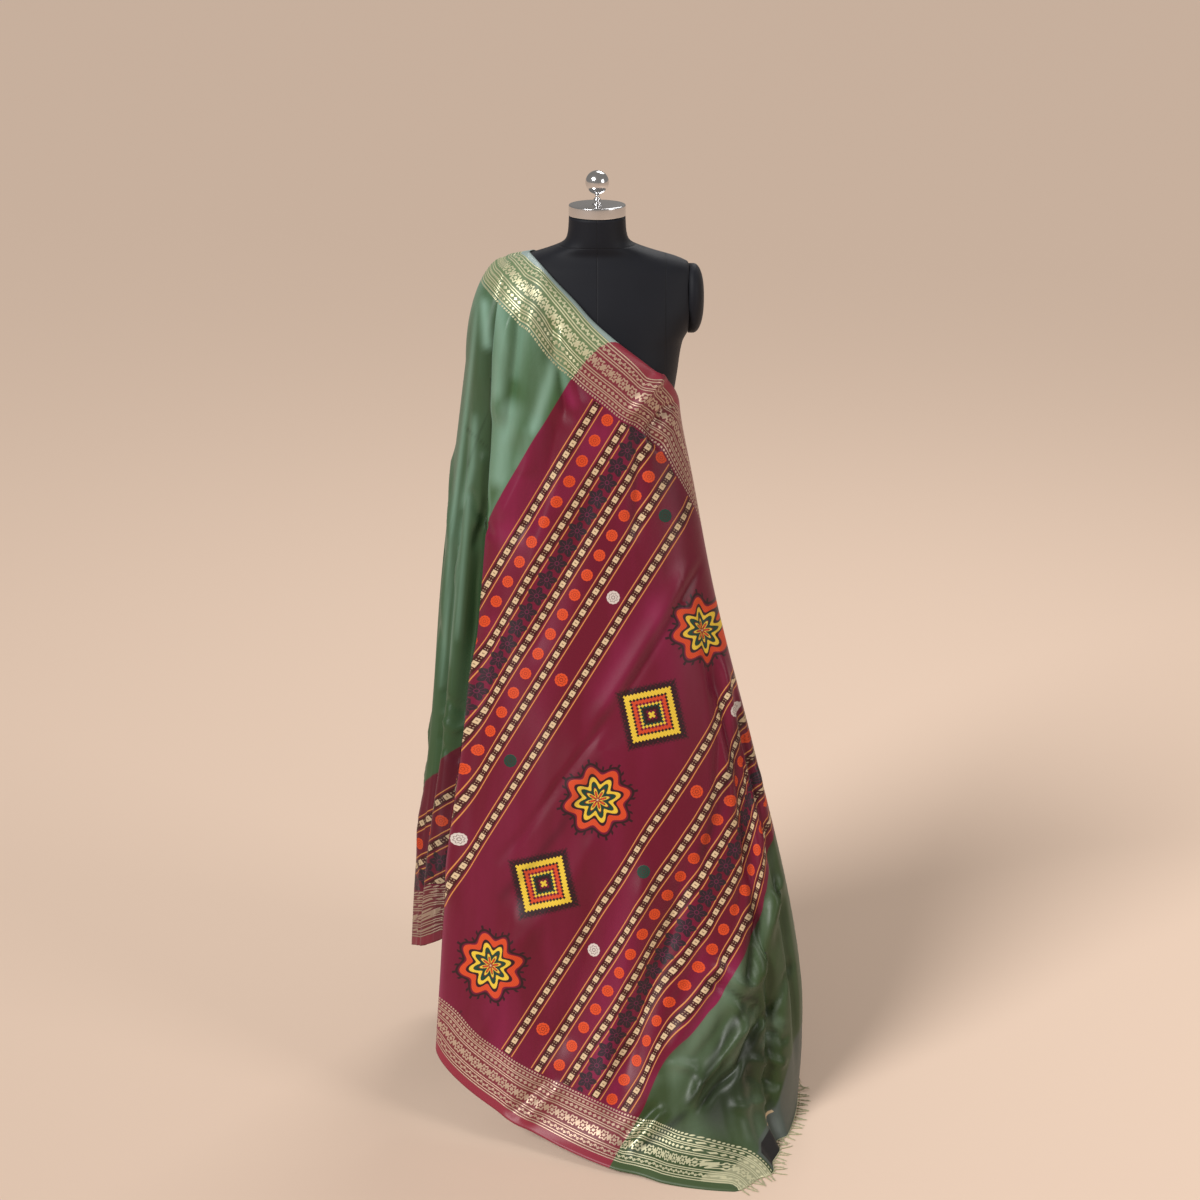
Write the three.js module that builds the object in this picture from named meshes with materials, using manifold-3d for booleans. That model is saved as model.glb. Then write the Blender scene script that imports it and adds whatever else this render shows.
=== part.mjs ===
// A silk saree draped over a limbless dress form on a round stand.
// Millimetres, +Z up, -Y towards the viewer; the origin is the middle of the stand's base on the floor.
import * as THREE from "three";
import { mergeVertices } from "three/addons/utils/BufferGeometryUtils.js";
import Module from "manifold-3d";

const wasm = await Module();
wasm.setup();

// Driving dimensions
const CLOTH_WALL = 2;
const SEAM_GAP = 0.3;
const SHOULDER_LINE = 1400;
const CAP_TOP = 1683;
const CAP_HEIGHT = 20;
const CAP_RADIUS = 51;
const BALL_RADIUS = 21;
const BALL_CENTRE = 1722;
const POLE_RADIUS = 16;
const BASE_RADIUS = 180;
const BASE_HEIGHT = 22;
const POLE_FOOT = 34;
const TORSO_BOTTOM = 800;
const TORSO_ROUND = 2.2;
const ARM_CUT = 164;
const HIDDEN_LAYERS = 16;
const TASSEL_SPACING = 13;
const TASSEL_LENGTH = 28;
const TASSEL_RADIUS = 1.3;
const FRINGE_STRIP = 7;
const STRIP_WALL = 3.4;
const FRINGE_CLEAR = 1.9;

// Plan of the hanging cloth at each height: the front layer's left fold, its foremost line and the
// right side, then the left side, the back end, and how far the left pleat runs under the front layer.
const DRAPE = [
  { z: 0, foldX: -314, foldY: -284, frontX: 248, frontY: -542, sideX: 386, sideY: -205, round: 1.5,
    leftX: -378, leftY: 54, backX: -20, backY: 214, pleat: 118 },
  { z: 40, foldX: -311, foldY: -275, frontX: 196, frontY: -462, sideX: 388, sideY: -212, round: 1.55,
    leftX: -376, leftY: 53, backX: -20, backY: 213, pleat: 115 },
  { z: 120, foldX: -307, foldY: -257, frontX: 142, frontY: -402, sideX: 391, sideY: -210, round: 1.65,
    leftX: -371, leftY: 51, backX: -22, backY: 211, pleat: 106 },
  { z: 240, foldX: -299, foldY: -230, frontX: 106, frontY: -356, sideX: 388, sideY: -198, round: 1.75,
    leftX: -365, leftY: 48, backX: -26, backY: 204, pleat: 90 },
  { z: 420, foldX: -285, foldY: -190, frontX: 80, frontY: -311, sideX: 359, sideY: -176, round: 1.8,
    leftX: -352, leftY: 42, backX: -34, backY: 192, pleat: 62 },
  { z: 690, foldX: -246, foldY: -139, frontX: 52, frontY: -256, sideX: 292, sideY: -132, round: 1.85,
    leftX: -320, leftY: 32, backX: -46, backY: 176, pleat: 28 },
  { z: 970, foldX: -215, foldY: -108, frontX: 28, frontY: -206, sideX: 219, sideY: -84, round: 1.9,
    leftX: -295, leftY: 21, backX: -62, backY: 160, pleat: 11 },
  { z: 1200, foldX: -196, foldY: -99, frontX: 4, frontY: -166, sideX: 173, sideY: -52, round: 1.95,
    leftX: -266, leftY: 11, backX: -76, backY: 138, pleat: 5 },
  { z: 1320, foldX: -188, foldY: -95, frontX: 0, frontY: -152, sideX: 150, sideY: -34, round: 2,
    leftX: -250, leftY: 6, backX: -82, backY: 130, pleat: 1 },
  { z: 1400, foldX: -185, foldY: -92, frontX: 0, frontY: -146, sideX: 150, sideY: -28, round: 2,
    leftX: -239, leftY: 2, backX: -85, backY: 128, pleat: -1 },
];

// The upper selvedge from the shoulder crest down across the chest to the right side.
const UPPER_SELVEDGE = [
  { x: -122, y: -6, z: 1600 },
  { x: -100, y: -53, z: 1586 },
  { x: -74, y: -73, z: 1561 },
  { x: -39, y: -94, z: 1529 },
  { x: -9, y: -109, z: 1498 },
  { x: 31, y: -119, z: 1464 },
  { x: 76, y: -118, z: 1427 },
  { x: 104, y: -113, z: 1400 },
];
const CREST_INNER = UPPER_SELVEDGE[0];
const CREST_OUTER = { x: -170, y: 0, z: 1588 };
// How full the cloth is over the shoulder: a power of the rise, over the front and back and at the side.
const CREST_SHAPE = { ends: 0.85, side: 1.2 };
// Shares of the front's plan at the shoulder line: where the column under the crest's inner end
// stands, and where the upper selvedge crosses.
const CREST_FOOT = 0.16;
const CROSSING = 0.79;
const SIDE_SELVEDGE_Z = 1326;
const TOP_CORNER_Z = 830;

// Where the right side goes on round the back, by height.
const RETURN = [
  { z: 0, x: 110, y: 250 },
  { z: 400, x: 92, y: 222 },
  { z: 830, x: 58, y: 168 },
  { z: 1100, x: 52, y: 136 },
  { z: 1330, x: 50, y: 122 },
];

// Large folds: where each lies across its stretch (0 to 1) at its top and bottom, the heights
// between which it runs, its half width in mm and its depth (minus for a trough).
const FRONT_FOLDS = [
  { top: 0.9, bottom: 0.86, from: 980, to: 380, half: 20, depth: -13 },
  { top: 0.95, bottom: 0.94, from: 900, to: 330, half: 16, depth: -11 },
  { top: 0.8, bottom: 0.72, from: 420, to: 30, half: 34, depth: 15 },
  { top: 0.9, bottom: 0.82, from: 330, to: 40, half: 26, depth: -16 },
  { top: 0.3, bottom: 0.22, from: 820, to: 60, half: 40, depth: 6 },
  { top: 0.52, bottom: 0.46, from: 700, to: 60, half: 44, depth: -6 },
];
const LEFT_FOLDS = [
  { top: 0.46, bottom: 0.5, from: 1380, to: 190, half: 17, depth: -11 },
  { top: 0.34, bottom: 0.36, from: 1250, to: 190, half: 15, depth: 8 },
  { top: 0.82, bottom: 0.84, from: 1300, to: 220, half: 20, depth: -9 },
];
const RETURN_FOLDS = [
  { top: 0.2, bottom: 0.12, from: 1250, to: 0, half: 30, depth: -20 },
  { top: 0.4, bottom: 0.28, from: 1200, to: 0, half: 28, depth: 17 },
  { top: 0.6, bottom: 0.44, from: 1150, to: 60, half: 26, depth: -18 },
  { top: 0.8, bottom: 0.62, from: 1050, to: 200, half: 24, depth: 14 },
];
const FRONT_COLUMNS = 32;
const FRONT_ROWS = 18;
const RETURN_COLUMNS = 18;
const RETURN_ROWS = 10;
const LEFT_COLUMNS = 20;
const LEFT_ROWS = 11;
const BACK_COLUMNS = 36;
const BACK_ROWS = 7;
const SIDE_SEAM = 0.003;
const BACK_PLEATS = 6;
const BACK_FALL_BOTTOM = 120;
const PLEAT_BOTTOM = 345;
const LEFT_SWEEP = 0.75;
const FOLD_FOOT = 128;
const FOOT_DROP = 2.4;
const LEFT_BOTTOM = 205;
const LEFT_BACK_BOTTOM = 262;

// The dress form's horizontal sections: half width, front and back depth.
const TORSO = [
  { z: TORSO_BOTTOM, half: 150, front: 104, back: 112 },
  { z: 830, half: 162, front: 112, back: 122 },
  { z: 900, half: 166, front: 116, back: 127 },
  { z: 980, half: 158, front: 110, back: 118 },
  { z: 1070, half: 134, front: 98, back: 98 },
  { z: 1140, half: 121, front: 92, back: 86 },
  { z: 1220, half: 128, front: 112, back: 87 },
  { z: 1310, half: 136, front: 136, back: 95 },
  { z: 1380, half: 146, front: 132, back: 102 },
  { z: 1437, half: 155, front: 116, back: 104 },
  { z: 1462, half: 168, front: 108, back: 102 },
  { z: 1500, half: 184, front: 94, back: 98 },
  { z: 1550, half: 184, front: 72, back: 82 },
  { z: 1574, half: 172, front: 61, back: 67 },
  { z: 1588, half: 146, front: 52, back: 56 },
  { z: 1598, half: 111, front: 48, back: 52 },
  { z: 1607, half: 82, front: 50, back: 52 },
  { z: 1616, half: 62, front: 51, back: 52 },
  { z: 1630, half: 54, front: 51, back: 52 },
  { z: CAP_TOP - CAP_HEIGHT - SEAM_GAP, half: 51, front: 50, back: 50 },
];
const ARM_PLATE = { z: 1514, height: 63, depth: 46, bulge: 28 };

// A value that varies smoothly down a table, by a cubic through its rows.
function along(table, key, at, by = "z") {
  const sign = table[0][by] < table[table.length - 1][by] ? 1 : -1;
  const last = table.length - 1;
  let i = 0;
  while (i < last - 1 && sign * at > sign * table[i + 1][by]) i++;
  const [a, b] = [table[i], table[i + 1]];
  const before = table[Math.max(i - 1, 0)];
  const after = table[Math.min(i + 2, last)];
  const span = b[by] - a[by];
  const t = THREE.MathUtils.clamp((at - a[by]) / span, 0, 1);
  const slope = (p, q) => (q[by] === p[by] ? 0 : ((q[key] - p[key]) / (q[by] - p[by])) * span);
  const [m0, m1] = [slope(before, b), slope(a, after)];
  const [t2, t3] = [t * t, t * t * t];
  return (
    (2 * t3 - 3 * t2 + 1) * a[key] + (t3 - 2 * t2 + t) * m0 +
    (3 * t2 - 2 * t3) * b[key] + (t3 - t2) * m1
  );
}

const bell = (d) => (Math.abs(d) >= 1 ? 0 : (1 - d * d) ** 2);
const smooth = (t) => THREE.MathUtils.smoothstep(t, 0, 1);

// A quarter of a superellipse from one plan point to another, leaving the first along Y.
function quarter(from, to, power, steps = 24) {
  return Array.from({ length: steps + 1 }, (_, i) => {
    const angle = (i / steps) * (Math.PI / 2);
    const [c, s] = [Math.cos(angle) ** (2 / power), Math.sin(angle) ** (2 / power)];
    return new THREE.Vector2(to.x + (from.x - to.x) * c, from.y + (to.y - from.y) * s);
  });
}

const plan = (z, name) =>
  new THREE.Vector2(along(DRAPE, name + "X", z), along(DRAPE, name + "Y", z));

// The front layer's plan at one height, from the left fold to the right side.
function frontPath(z) {
  const power = along(DRAPE, "round", z);
  const [fold, front, side] = ["fold", "front", "side"].map((name) => plan(z, name));
  return quarter(fold, front, power).concat(quarter(side, front, power).reverse().slice(1));
}

// The right side going on round the back.
function returnPath(z) {
  const back = new THREE.Vector2(along(RETURN, "x", z), along(RETURN, "y", z));
  return quarter(plan(z, "side"), back, 2);
}

// The left fall's visible side and the back beyond it.
function leftPath(z) {
  const [fold, left] = [plan(z, "fold"), plan(z, "left")];
  return quarter(left, fold, 2).reverse();
}
const backPath = (z) => quarter(plan(z, "left"), plan(z, "back"), 2);

// The hidden pleat: from its root under the front layer out to the fold, clear of that layer.
function pleatPath(z) {
  const depth = along(DRAPE, "pleat", z);
  if (depth <= 4) return [];
  const line = new Line(frontPath(z));
  const inset = 11;
  const steps = 6;
  return Array.from({ length: steps }, (_, i) => {
    const at = (depth * (1 - i / steps)) / line.length;
    return line.at(at).sub(line.normal(at).multiplyScalar(inset));
  });
}

// A plan line measured by its own length, from 0 to 1.
class Line {
  constructor(points) {
    this.points = points;
    this.sums = [0];
    for (let i = 1; i < points.length; i++)
      this.sums.push(this.sums[i - 1] + points[i].distanceTo(points[i - 1]));
    this.length = this.sums[points.length - 1];
  }
  at(fraction) {
    const target = THREE.MathUtils.clamp(fraction, 0, 1) * this.length;
    let i = 1;
    while (i < this.points.length - 1 && this.sums[i] < target) i++;
    const span = this.sums[i] - this.sums[i - 1];
    const t = span > 0 ? (target - this.sums[i - 1]) / span : 0;
    return this.points[i - 1].clone().lerp(this.points[i], t);
  }
  normal(fraction, reach = 0.02) {
    const ahead = this.at(fraction + reach).sub(this.at(fraction - reach)).normalize();
    return new THREE.Vector2(ahead.y, -ahead.x);
  }
}

// A point of a hanging stretch: its plan line at that height, pushed out by the folds there.
function hang(pathAt, folds, outward) {
  const lines = new Map();
  return (across, z) => {
    const key = Math.round(z * 10);
    if (!lines.has(key)) lines.set(key, new Line(pathAt(z)));
    const line = lines.get(key);
    let push = 0;
    for (const fold of folds) {
      const down = (fold.from - z) / (fold.from - fold.to);
      if (down <= 0 || down >= 1.5) continue;
      const centre = fold.top + (fold.bottom - fold.top) * Math.min(down, 1);
      const strength = smooth(Math.min(down * 2.5, 1)) * smooth(Math.min((1.5 - down) * 3, 1));
      push += fold.depth * strength * bell(((across - centre) * line.length) / fold.half);
    }
    const spot = line.at(across).add(line.normal(across).multiplyScalar(outward * push));
    return new THREE.Vector3(spot.x, spot.y, z);
  };
}

// A stretch of cloth as columns of points, each from its foot to its top.
function stretch(columns, rows, place) {
  const points = [];
  const faces = [];
  for (let i = 0; i <= columns; i++)
    for (let j = 0; j <= rows; j++) points.push(place(i / columns, j / rows));
  const id = (i, j) => i * (rows + 1) + j;
  for (let i = 0; i < columns; i++)
    for (let j = 0; j < rows; j++) faces.push([id(i, j), id(i + 1, j), id(i + 1, j + 1), id(i, j + 1)]);
  return { points, faces };
}

// Points that lie together become one, and faces with no area left are dropped.
function weld({ points, faces }) {
  const kept = [];
  const seen = new Map();
  const index = points.map((p) => {
    const key = p.toArray().map((v) => Math.round(v * 100)).join();
    if (!seen.has(key)) seen.set(key, kept.push(p) - 1);
    return seen.get(key);
  });
  const clean = faces.map((face) => face.map((i) => index[i]).filter((v, i, ring) => v !== ring.at(i - 1)));
  return { points: kept, faces: clean.filter((face) => face.length > 2) };
}

function pointNormals({ points, faces }) {
  const normals = points.map(() => new THREE.Vector3());
  for (const face of faces) {
    const [a, b, c] = [points[face[0]], points[face[1]], points[face[2]]];
    const d = points[face.at(-1)];
    const area = c.clone().sub(a).cross(d.clone().sub(b));
    if (face.length === 3) area.copy(b.clone().sub(a).cross(c.clone().sub(a)));
    for (const i of face) normals[i].add(area);
  }
  return normals.map((n) => n.normalize());
}

// A closed wall on both sides of a stretch, kept above the floor and stitched along its free edges.
// Its front face lies outside the stretch by the length given; thickness grows inwards.
function wall(surface, thickness = () => CLOTH_WALL, front = CLOTH_WALL / 2) {
  const { points, faces } = weld(surface);
  const normals = pointNormals({ points, faces });
  const count = points.length;
  const positions = [1, -1].flatMap((side) => points.flatMap((p, i) => {
    const out = side > 0 ? front : front - thickness(p);
    const spot = p.clone().addScaledVector(normals[i], out);
    return [spot.x, spot.y, Math.max(spot.z, 0)];
  }));
  const triangles = [];
  const edges = new Map();
  for (const face of faces) {
    for (let i = 1; i < face.length - 1; i++) {
      triangles.push(face[0], face[i], face[i + 1]);
      triangles.push(face[0] + count, face[i + 1] + count, face[i] + count);
    }
    face.forEach((a, i) => {
      const b = face[(i + 1) % face.length];
      if (!edges.delete(b + "," + a)) edges.set(a + "," + b, [a, b]);
    });
  }
  for (const [a, b] of edges.values()) triangles.push(a, a + count, b + count, a, b + count, b);
  const geometry = new THREE.BufferGeometry();
  geometry.setAttribute("position", new THREE.Float32BufferAttribute(positions, 3));
  geometry.setIndex(triangles);
  return geometry;
}

function solidOf(geometry) {
  geometry.deleteAttribute("normal");
  geometry.deleteAttribute("uv");
  const merged = mergeVertices(geometry, 1e-3);
  const vertProperties = merged.attributes.position.array;
  return new wasm.Manifold(
    new wasm.Mesh({ numProp: 3, vertProperties, triVerts: new Uint32Array(merged.index.array) }),
  );
}

function geometryOf(solid) {
  const { vertProperties, triVerts } = solid.getMesh();
  const geometry = new THREE.BufferGeometry();
  geometry.setAttribute("position", new THREE.Float32BufferAttribute(vertProperties, 3));
  geometry.setIndex(Array.from(triVerts));
  return geometry;
}

// The columns crowd towards the floor, where the cloth spreads.
const fromFloor = (low, high, up) => low + (high - low) * up ** 1.45;
const { lerp } = THREE.MathUtils;

const onFront = hang(frontPath, FRONT_FOLDS, 1);
const onReturn = hang(returnPath, RETURN_FOLDS, 1);

// The share of the front's plan on the floor where the hem ends and the fringed end begins.
function cornerShare() {
  const reach = new Line(quarter(plan(0, "fold"), plan(0, "front"), along(DRAPE, "round", 0)));
  return reach.length / new Line(frontPath(0)).length;
}

// The hem hangs clear of the floor at the left fold and comes down to it at the corner.
const frontFoot = (across) => FOLD_FOOT * Math.max(1 - across / cornerShare(), 0) ** FOOT_DROP;

function frontDrape() {
  const seam = SHOULDER_LINE - SEAM_GAP;
  const top = (across) =>
    across < CROSSING ? seam : lerp(seam, SIDE_SELVEDGE_Z, (across - CROSSING) / (1 - CROSSING));
  return wall(stretch(FRONT_COLUMNS, FRONT_ROWS, (i, j) => onFront(i, fromFloor(frontFoot(i), top(i), j))));
}

// The right side: its upper selvedge drops to the top corner while its fringed end climbs to it.
const returnTop = (across) => lerp(SIDE_SELVEDGE_Z, TOP_CORNER_Z + 14, across ** 0.9);
const returnFoot = (across) => lerp(0, TOP_CORNER_Z - 14, across ** 1.25);

function rightReturn() {
  return wall(stretch(RETURN_COLUMNS, RETURN_ROWS, (i, j) => {
    const across = lerp(SIDE_SEAM, 1, i);
    return onReturn(across, lerp(returnFoot(across), returnTop(across), j));
  }));
}

// The left fall: out of the pleat under the front layer, round the left side and a little way back.
function leftFall() {
  const path = (z) => {
    const clear = smooth((SHOULDER_LINE - z) / 90);
    const side = leftPath(z).map((p) => p.clone().add(new THREE.Vector2(6, 10).multiplyScalar(clear)));
    const back = new Line(backPath(z));
    const behind = [0.07, 0.14, 0.2, 0.26].map((f) => back.at(f));
    return pleatPath(z).concat(side, behind);
  };
  const place = hang(path, LEFT_FOLDS, -1);
  const seam = 0.011;
  const level = new Line(path(LEFT_BOTTOM));
  const hidden = new Line(pleatPath(LEFT_BOTTOM)).length / level.length;
  const side = hidden + new Line(leftPath(LEFT_BOTTOM)).length / level.length;
  return wall(stretch(LEFT_COLUMNS, LEFT_ROWS, (i, j) => {
    const across = lerp(seam, 1, i);
    const sweep = THREE.MathUtils.clamp((across - hidden) / (side - hidden), 0, 1) ** LEFT_SWEEP;
    const behind = smooth(Math.max(across - side, 0) / (1 - side));
    const foot = lerp(PLEAT_BOTTOM, LEFT_BOTTOM, sweep) + behind * (LEFT_BACK_BOTTOM - LEFT_BOTTOM);
    return place(across, lerp(foot, SHOULDER_LINE - SEAM_GAP, j));
  }));
}

// Over the shoulder: the back, the left side and the front meet on the crest, and the upper
// selvedge bounds the chest.
function shoulderWrap() {
  const chest = new Line(frontPath(SHOULDER_LINE));
  const share = (from, to) => Array.from({ length: 13 }, (_, i) => chest.at(lerp(from, to, i / 12)));
  const back = new Line(backPath(SHOULDER_LINE).reverse());
  const side = new Line(leftPath(SHOULDER_LINE).reverse().concat(share(0, CREST_FOOT).slice(1)));
  const breast = new Line(share(CREST_FOOT, CROSSING));
  const rise = (foot, top, up) => {
    const angle = (up * Math.PI) / 2;
    const aside = smooth((-foot.x - 185) / 45);
    const near = Math.cos(angle) ** lerp(CREST_SHAPE.ends, CREST_SHAPE.side, aside);
    const high = Math.sin(angle);
    return new THREE.Vector3(
      lerp(top.x, foot.x, near), lerp(top.y, foot.y, near), lerp(SHOULDER_LINE, top.z, high));
  };
  const crest = (t) => ({
    x: lerp(CREST_INNER.x, CREST_OUTER.x, t),
    y: lerp(CREST_INNER.y, CREST_OUTER.y, t),
    z: lerp(CREST_INNER.z, CREST_OUTER.z, t),
  });
  const rows = 7;
  const parts = [
    { columns: 8, foot: (i) => back.at(i), top: (i) => crest(i) },
    { columns: 8, foot: (i) => side.at(i), top: (i) => crest(1 - i) },
    { columns: 12, foot: (i) => breast.at(i), top: (i) => selvedge(i * 0.97) },
  ];
  const whole = { points: [], faces: [] };
  for (const { columns, foot, top } of parts) {
    const made = stretch(columns, rows, (i, j) => rise(foot(i), top(i), j));
    const base = whole.points.length;
    whole.points.push(...made.points);
    whole.faces.push(...made.faces.map((face) => face.map((k) => k + base)));
  }
  return wall(whole);
}

// The upper selvedge by its share of the way from the crest to the side.
function selvedge(share) {
  const x = lerp(UPPER_SELVEDGE[0].x, UPPER_SELVEDGE.at(-1).x, share);
  return { x, y: along(UPPER_SELVEDGE, "y", x, "x"), z: along(UPPER_SELVEDGE, "z", x, "x") };
}

// The rest of the length hangs behind the shoulder in pleats, its layers folded into one thickness.
function backFall() {
  const place = (across, z) => {
    const line = new Line(backPath(z));
    const start = lerp(0.285, 0.24, smooth((SHOULDER_LINE - z) / 900));
    const at = lerp(start, 1, across);
    const down = (SHOULDER_LINE - z) / (SHOULDER_LINE - BACK_FALL_BOTTOM);
    const ripple = Math.sin(across * BACK_PLEATS * Math.PI * 2) * lerp(0, 13, down ** 0.7);
    const spot = line.at(at).sub(line.normal(at).multiplyScalar(ripple + lerp(0, 16, smooth(down * 4))));
    return new THREE.Vector3(spot.x, spot.y, z);
  };
  const layered = (p) => {
    const down = (SHOULDER_LINE - p.z) / (SHOULDER_LINE - BACK_FALL_BOTTOM);
    return lerp(CLOTH_WALL, HIDDEN_LAYERS, smooth(down * 4));
  };
  const surface = stretch(BACK_COLUMNS, BACK_ROWS, (i, j) => place(1 - i, lerp(BACK_FALL_BOTTOM, SHOULDER_LINE - SEAM_GAP, j)));
  return wall(surface, layered);
}

// The fringed end: from the corner on the floor along the foot of the front and up the right side.
function endLine() {
  const z = 0;
  const corner = cornerShare();
  const points = [onFront(corner, z)];
  for (let i = Math.ceil(corner * FRONT_COLUMNS + 0.3); i <= FRONT_COLUMNS; i++)
    points.push(onFront(i / FRONT_COLUMNS, z));
  for (let i = 1; i <= RETURN_COLUMNS; i++) {
    const across = lerp(SIDE_SEAM, 1, i / RETURN_COLUMNS);
    points.push(onReturn(across, returnFoot(across)));
  }
  return new THREE.CatmullRomCurve3(points, false, "centripetal");
}

// Tassels lie outwards along the floor and hang down where the end climbs.
function endFringe() {
  const line = endLine();
  const count = Math.round(line.getLength() / TASSEL_SPACING);
  const way = (share) => {
    const tangent = line.getTangentAt(share);
    const lying = 1 - smooth(line.getPointAt(share).z / TASSEL_LENGTH / 1.4);
    const out = new THREE.Vector3(tangent.y, -tangent.x, 0).normalize();
    return out.multiplyScalar(lerp(0.2, 1, lying)).add(new THREE.Vector3(0, 0, lying - 1)).normalize();
  };
  const beyond = (share, distance, lowest) => {
    const spot = line.getPointAt(share).addScaledVector(way(share), distance);
    spot.z = Math.max(spot.z, lowest);
    return spot;
  };
  const start = CLOTH_WALL / 2 + FRINGE_CLEAR;
  const lowest = STRIP_WALL / 2 + 0.3;
  const strip = stretch(Math.round(count * 0.8), 1, (i, j) =>
    beyond(lerp(0.004, 0.996, i), lerp(start, start + FRINGE_STRIP, j), lowest));
  let fringe = solidOf(wall(strip, () => STRIP_WALL, STRIP_WALL / 2));
  for (let i = 0; i < count; i++) {
    const share = lerp(0.006, 0.994, (i + 0.5) / count);
    const lean = 0.0025 * Math.sin(i * 2.4);
    const root = beyond(share, start + FRINGE_STRIP * 0.6, lowest);
    const length = TASSEL_LENGTH * (1 + 0.12 * Math.sin(i * 1.7));
    const tip = beyond(THREE.MathUtils.clamp(share + lean, 0, 1), start + length, lowest);
    const strand = new THREE.CylinderGeometry(TASSEL_RADIUS, TASSEL_RADIUS * 0.7, root.distanceTo(tip), 3);
    const turn = new THREE.Quaternion().setFromUnitVectors(
      new THREE.Vector3(0, 1, 0), root.clone().sub(tip).normalize());
    strand.applyQuaternion(turn).translate(...root.clone().lerp(tip, 0.5).toArray());
    fringe = fringe.add(solidOf(strand));
  }
  return geometryOf(fringe);
}

// The form's body, flat where each arm would start, with closed ends.
function torso() {
  const around = 32;
  const rings = TORSO.map(({ z, half, front, back }) =>
    Array.from({ length: around }, (_, i) => {
      const angle = (i / around) * Math.PI * 2;
      const [c, s] = [Math.cos(angle), Math.sin(angle)];
      const x = half * Math.sign(c) * Math.abs(c) ** (2 / TORSO_ROUND);
      const y = (s < 0 ? front : back) * Math.sign(s) * Math.abs(s) ** (2 / TORSO_ROUND);
      return new THREE.Vector3(THREE.MathUtils.clamp(x, -ARM_CUT, ARM_CUT), y, z);
    }));
  const points = [...rings.flat(), new THREE.Vector3(0, 0, TORSO[0].z), new THREE.Vector3(0, 0, TORSO.at(-1).z)];
  const [bottom, top] = [rings.length * around, rings.length * around + 1];
  const faces = [];
  for (let i = 0; i < around; i++) {
    const next = (i + 1) % around;
    faces.push(bottom, next, i, top, (rings.length - 1) * around + i, (rings.length - 1) * around + next);
    for (let r = 0; r < rings.length - 1; r++) {
      const [a, b] = [r * around + i, r * around + next];
      faces.push(a, b, b + around, a, b + around, a + around);
    }
  }
  const geometry = new THREE.BufferGeometry();
  geometry.setAttribute("position", new THREE.Float32BufferAttribute(points.flatMap((p) => p.toArray()), 3));
  geometry.setIndex(faces);
  return geometry;
}

// A turned piece about the upright axis, from its profile of radius and height.
function turned(profile, sides = 40) {
  return new THREE.LatheGeometry(profile.map(([r, h]) => new THREE.Vector2(r, h)), sides).rotateX(Math.PI / 2);
}

// The domed plate that closes an arm opening; side is 1 on the viewer's right.
function armPlate(side) {
  const dome = Array.from({ length: 9 }, (_, i) => {
    const angle = (i / 8) * (Math.PI / 2);
    return [Math.cos(angle) ** 0.8, 0.3 + 0.7 * Math.sin(angle)];
  });
  dome[8][0] = 0;
  const plate = turned([[0, 0], [1, 0], ...dome], 28);
  plate.scale(ARM_PLATE.height, ARM_PLATE.depth, ARM_PLATE.bulge);
  plate.rotateY((side * Math.PI) / 2);
  return plate.translate(side * (ARM_CUT + SEAM_GAP), 0, ARM_PLATE.z);
}

function neckCap() {
  const [r, low, edge] = [CAP_RADIUS, CAP_TOP - CAP_HEIGHT, 1.5];
  return turned([[0, low], [r - edge, low], [r, low + edge], [r, CAP_TOP - edge], [r - edge, CAP_TOP], [0, CAP_TOP]], 36);
}

// The ball on its short beaded stem.
function finial() {
  const foot = CAP_TOP + SEAM_GAP;
  const stem = [[0, 0], [9, 0], [9, 1.5], [4, 3], [4, 6], [6.5, 8], [6.5, 10], [4, 12], [4, 15]];
  const start = Math.asin(4 / BALL_RADIUS);
  const ball = Array.from({ length: 13 }, (_, i) => {
    const angle = lerp(start, Math.PI, i / 12);
    return [BALL_RADIUS * Math.sin(angle), BALL_CENTRE - BALL_RADIUS * Math.cos(angle)];
  });
  ball[12][0] = 0;
  return turned([...stem.map(([r, h]) => [r, foot + h]), ...ball], 24);
}

function pole() {
  const [low, high] = [BASE_HEIGHT + SEAM_GAP, TORSO_BOTTOM - SEAM_GAP];
  const r = POLE_RADIUS;
  return turned([
    [0, low], [POLE_FOOT, low], [POLE_FOOT, low + 10], [r, low + 22],
    [r, high - 30], [POLE_FOOT, high - 12], [POLE_FOOT, high], [0, high],
  ], 32);
}

function standBase() {
  const [r, h] = [BASE_RADIUS, BASE_HEIGHT];
  return turned([[0, 0], [r - 3, 0], [r, 3], [r, h - 10], [r - 3, h - 6], [r - 14, h - 3], [60, h], [0, h]], 40);
}

const silk = new THREE.MeshStandardMaterial({ color: 0x6e1730, roughness: 0.42, metalness: 0 });
const greenSilk = new THREE.MeshStandardMaterial({ color: 0x5f7d58, roughness: 0.42, metalness: 0 });
const fringeThread = new THREE.MeshStandardMaterial({ color: 0xa8a27c, roughness: 0.7, metalness: 0 });
const formCloth = new THREE.MeshStandardMaterial({ color: 0x14151a, roughness: 0.75, metalness: 0 });
const chrome = new THREE.MeshStandardMaterial({ color: 0xc9cacc, roughness: 0.18, metalness: 1 });
const paintedSteel = new THREE.MeshStandardMaterial({ color: 0x2a2b2e, roughness: 0.5, metalness: 0.6 });

const piece = (name, geometry, material) => Object.assign(new THREE.Mesh(geometry, material), { name });

const saree = new THREE.Group();
saree.add(
  piece("front_drape", frontDrape(), silk),
  piece("right_return", rightReturn(), silk),
  piece("left_fall", leftFall(), greenSilk),
  piece("shoulder_wrap", shoulderWrap(), greenSilk),
  piece("back_fall", backFall(), greenSilk),
  piece("end_fringe", endFringe(), fringeThread),
);

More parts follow.
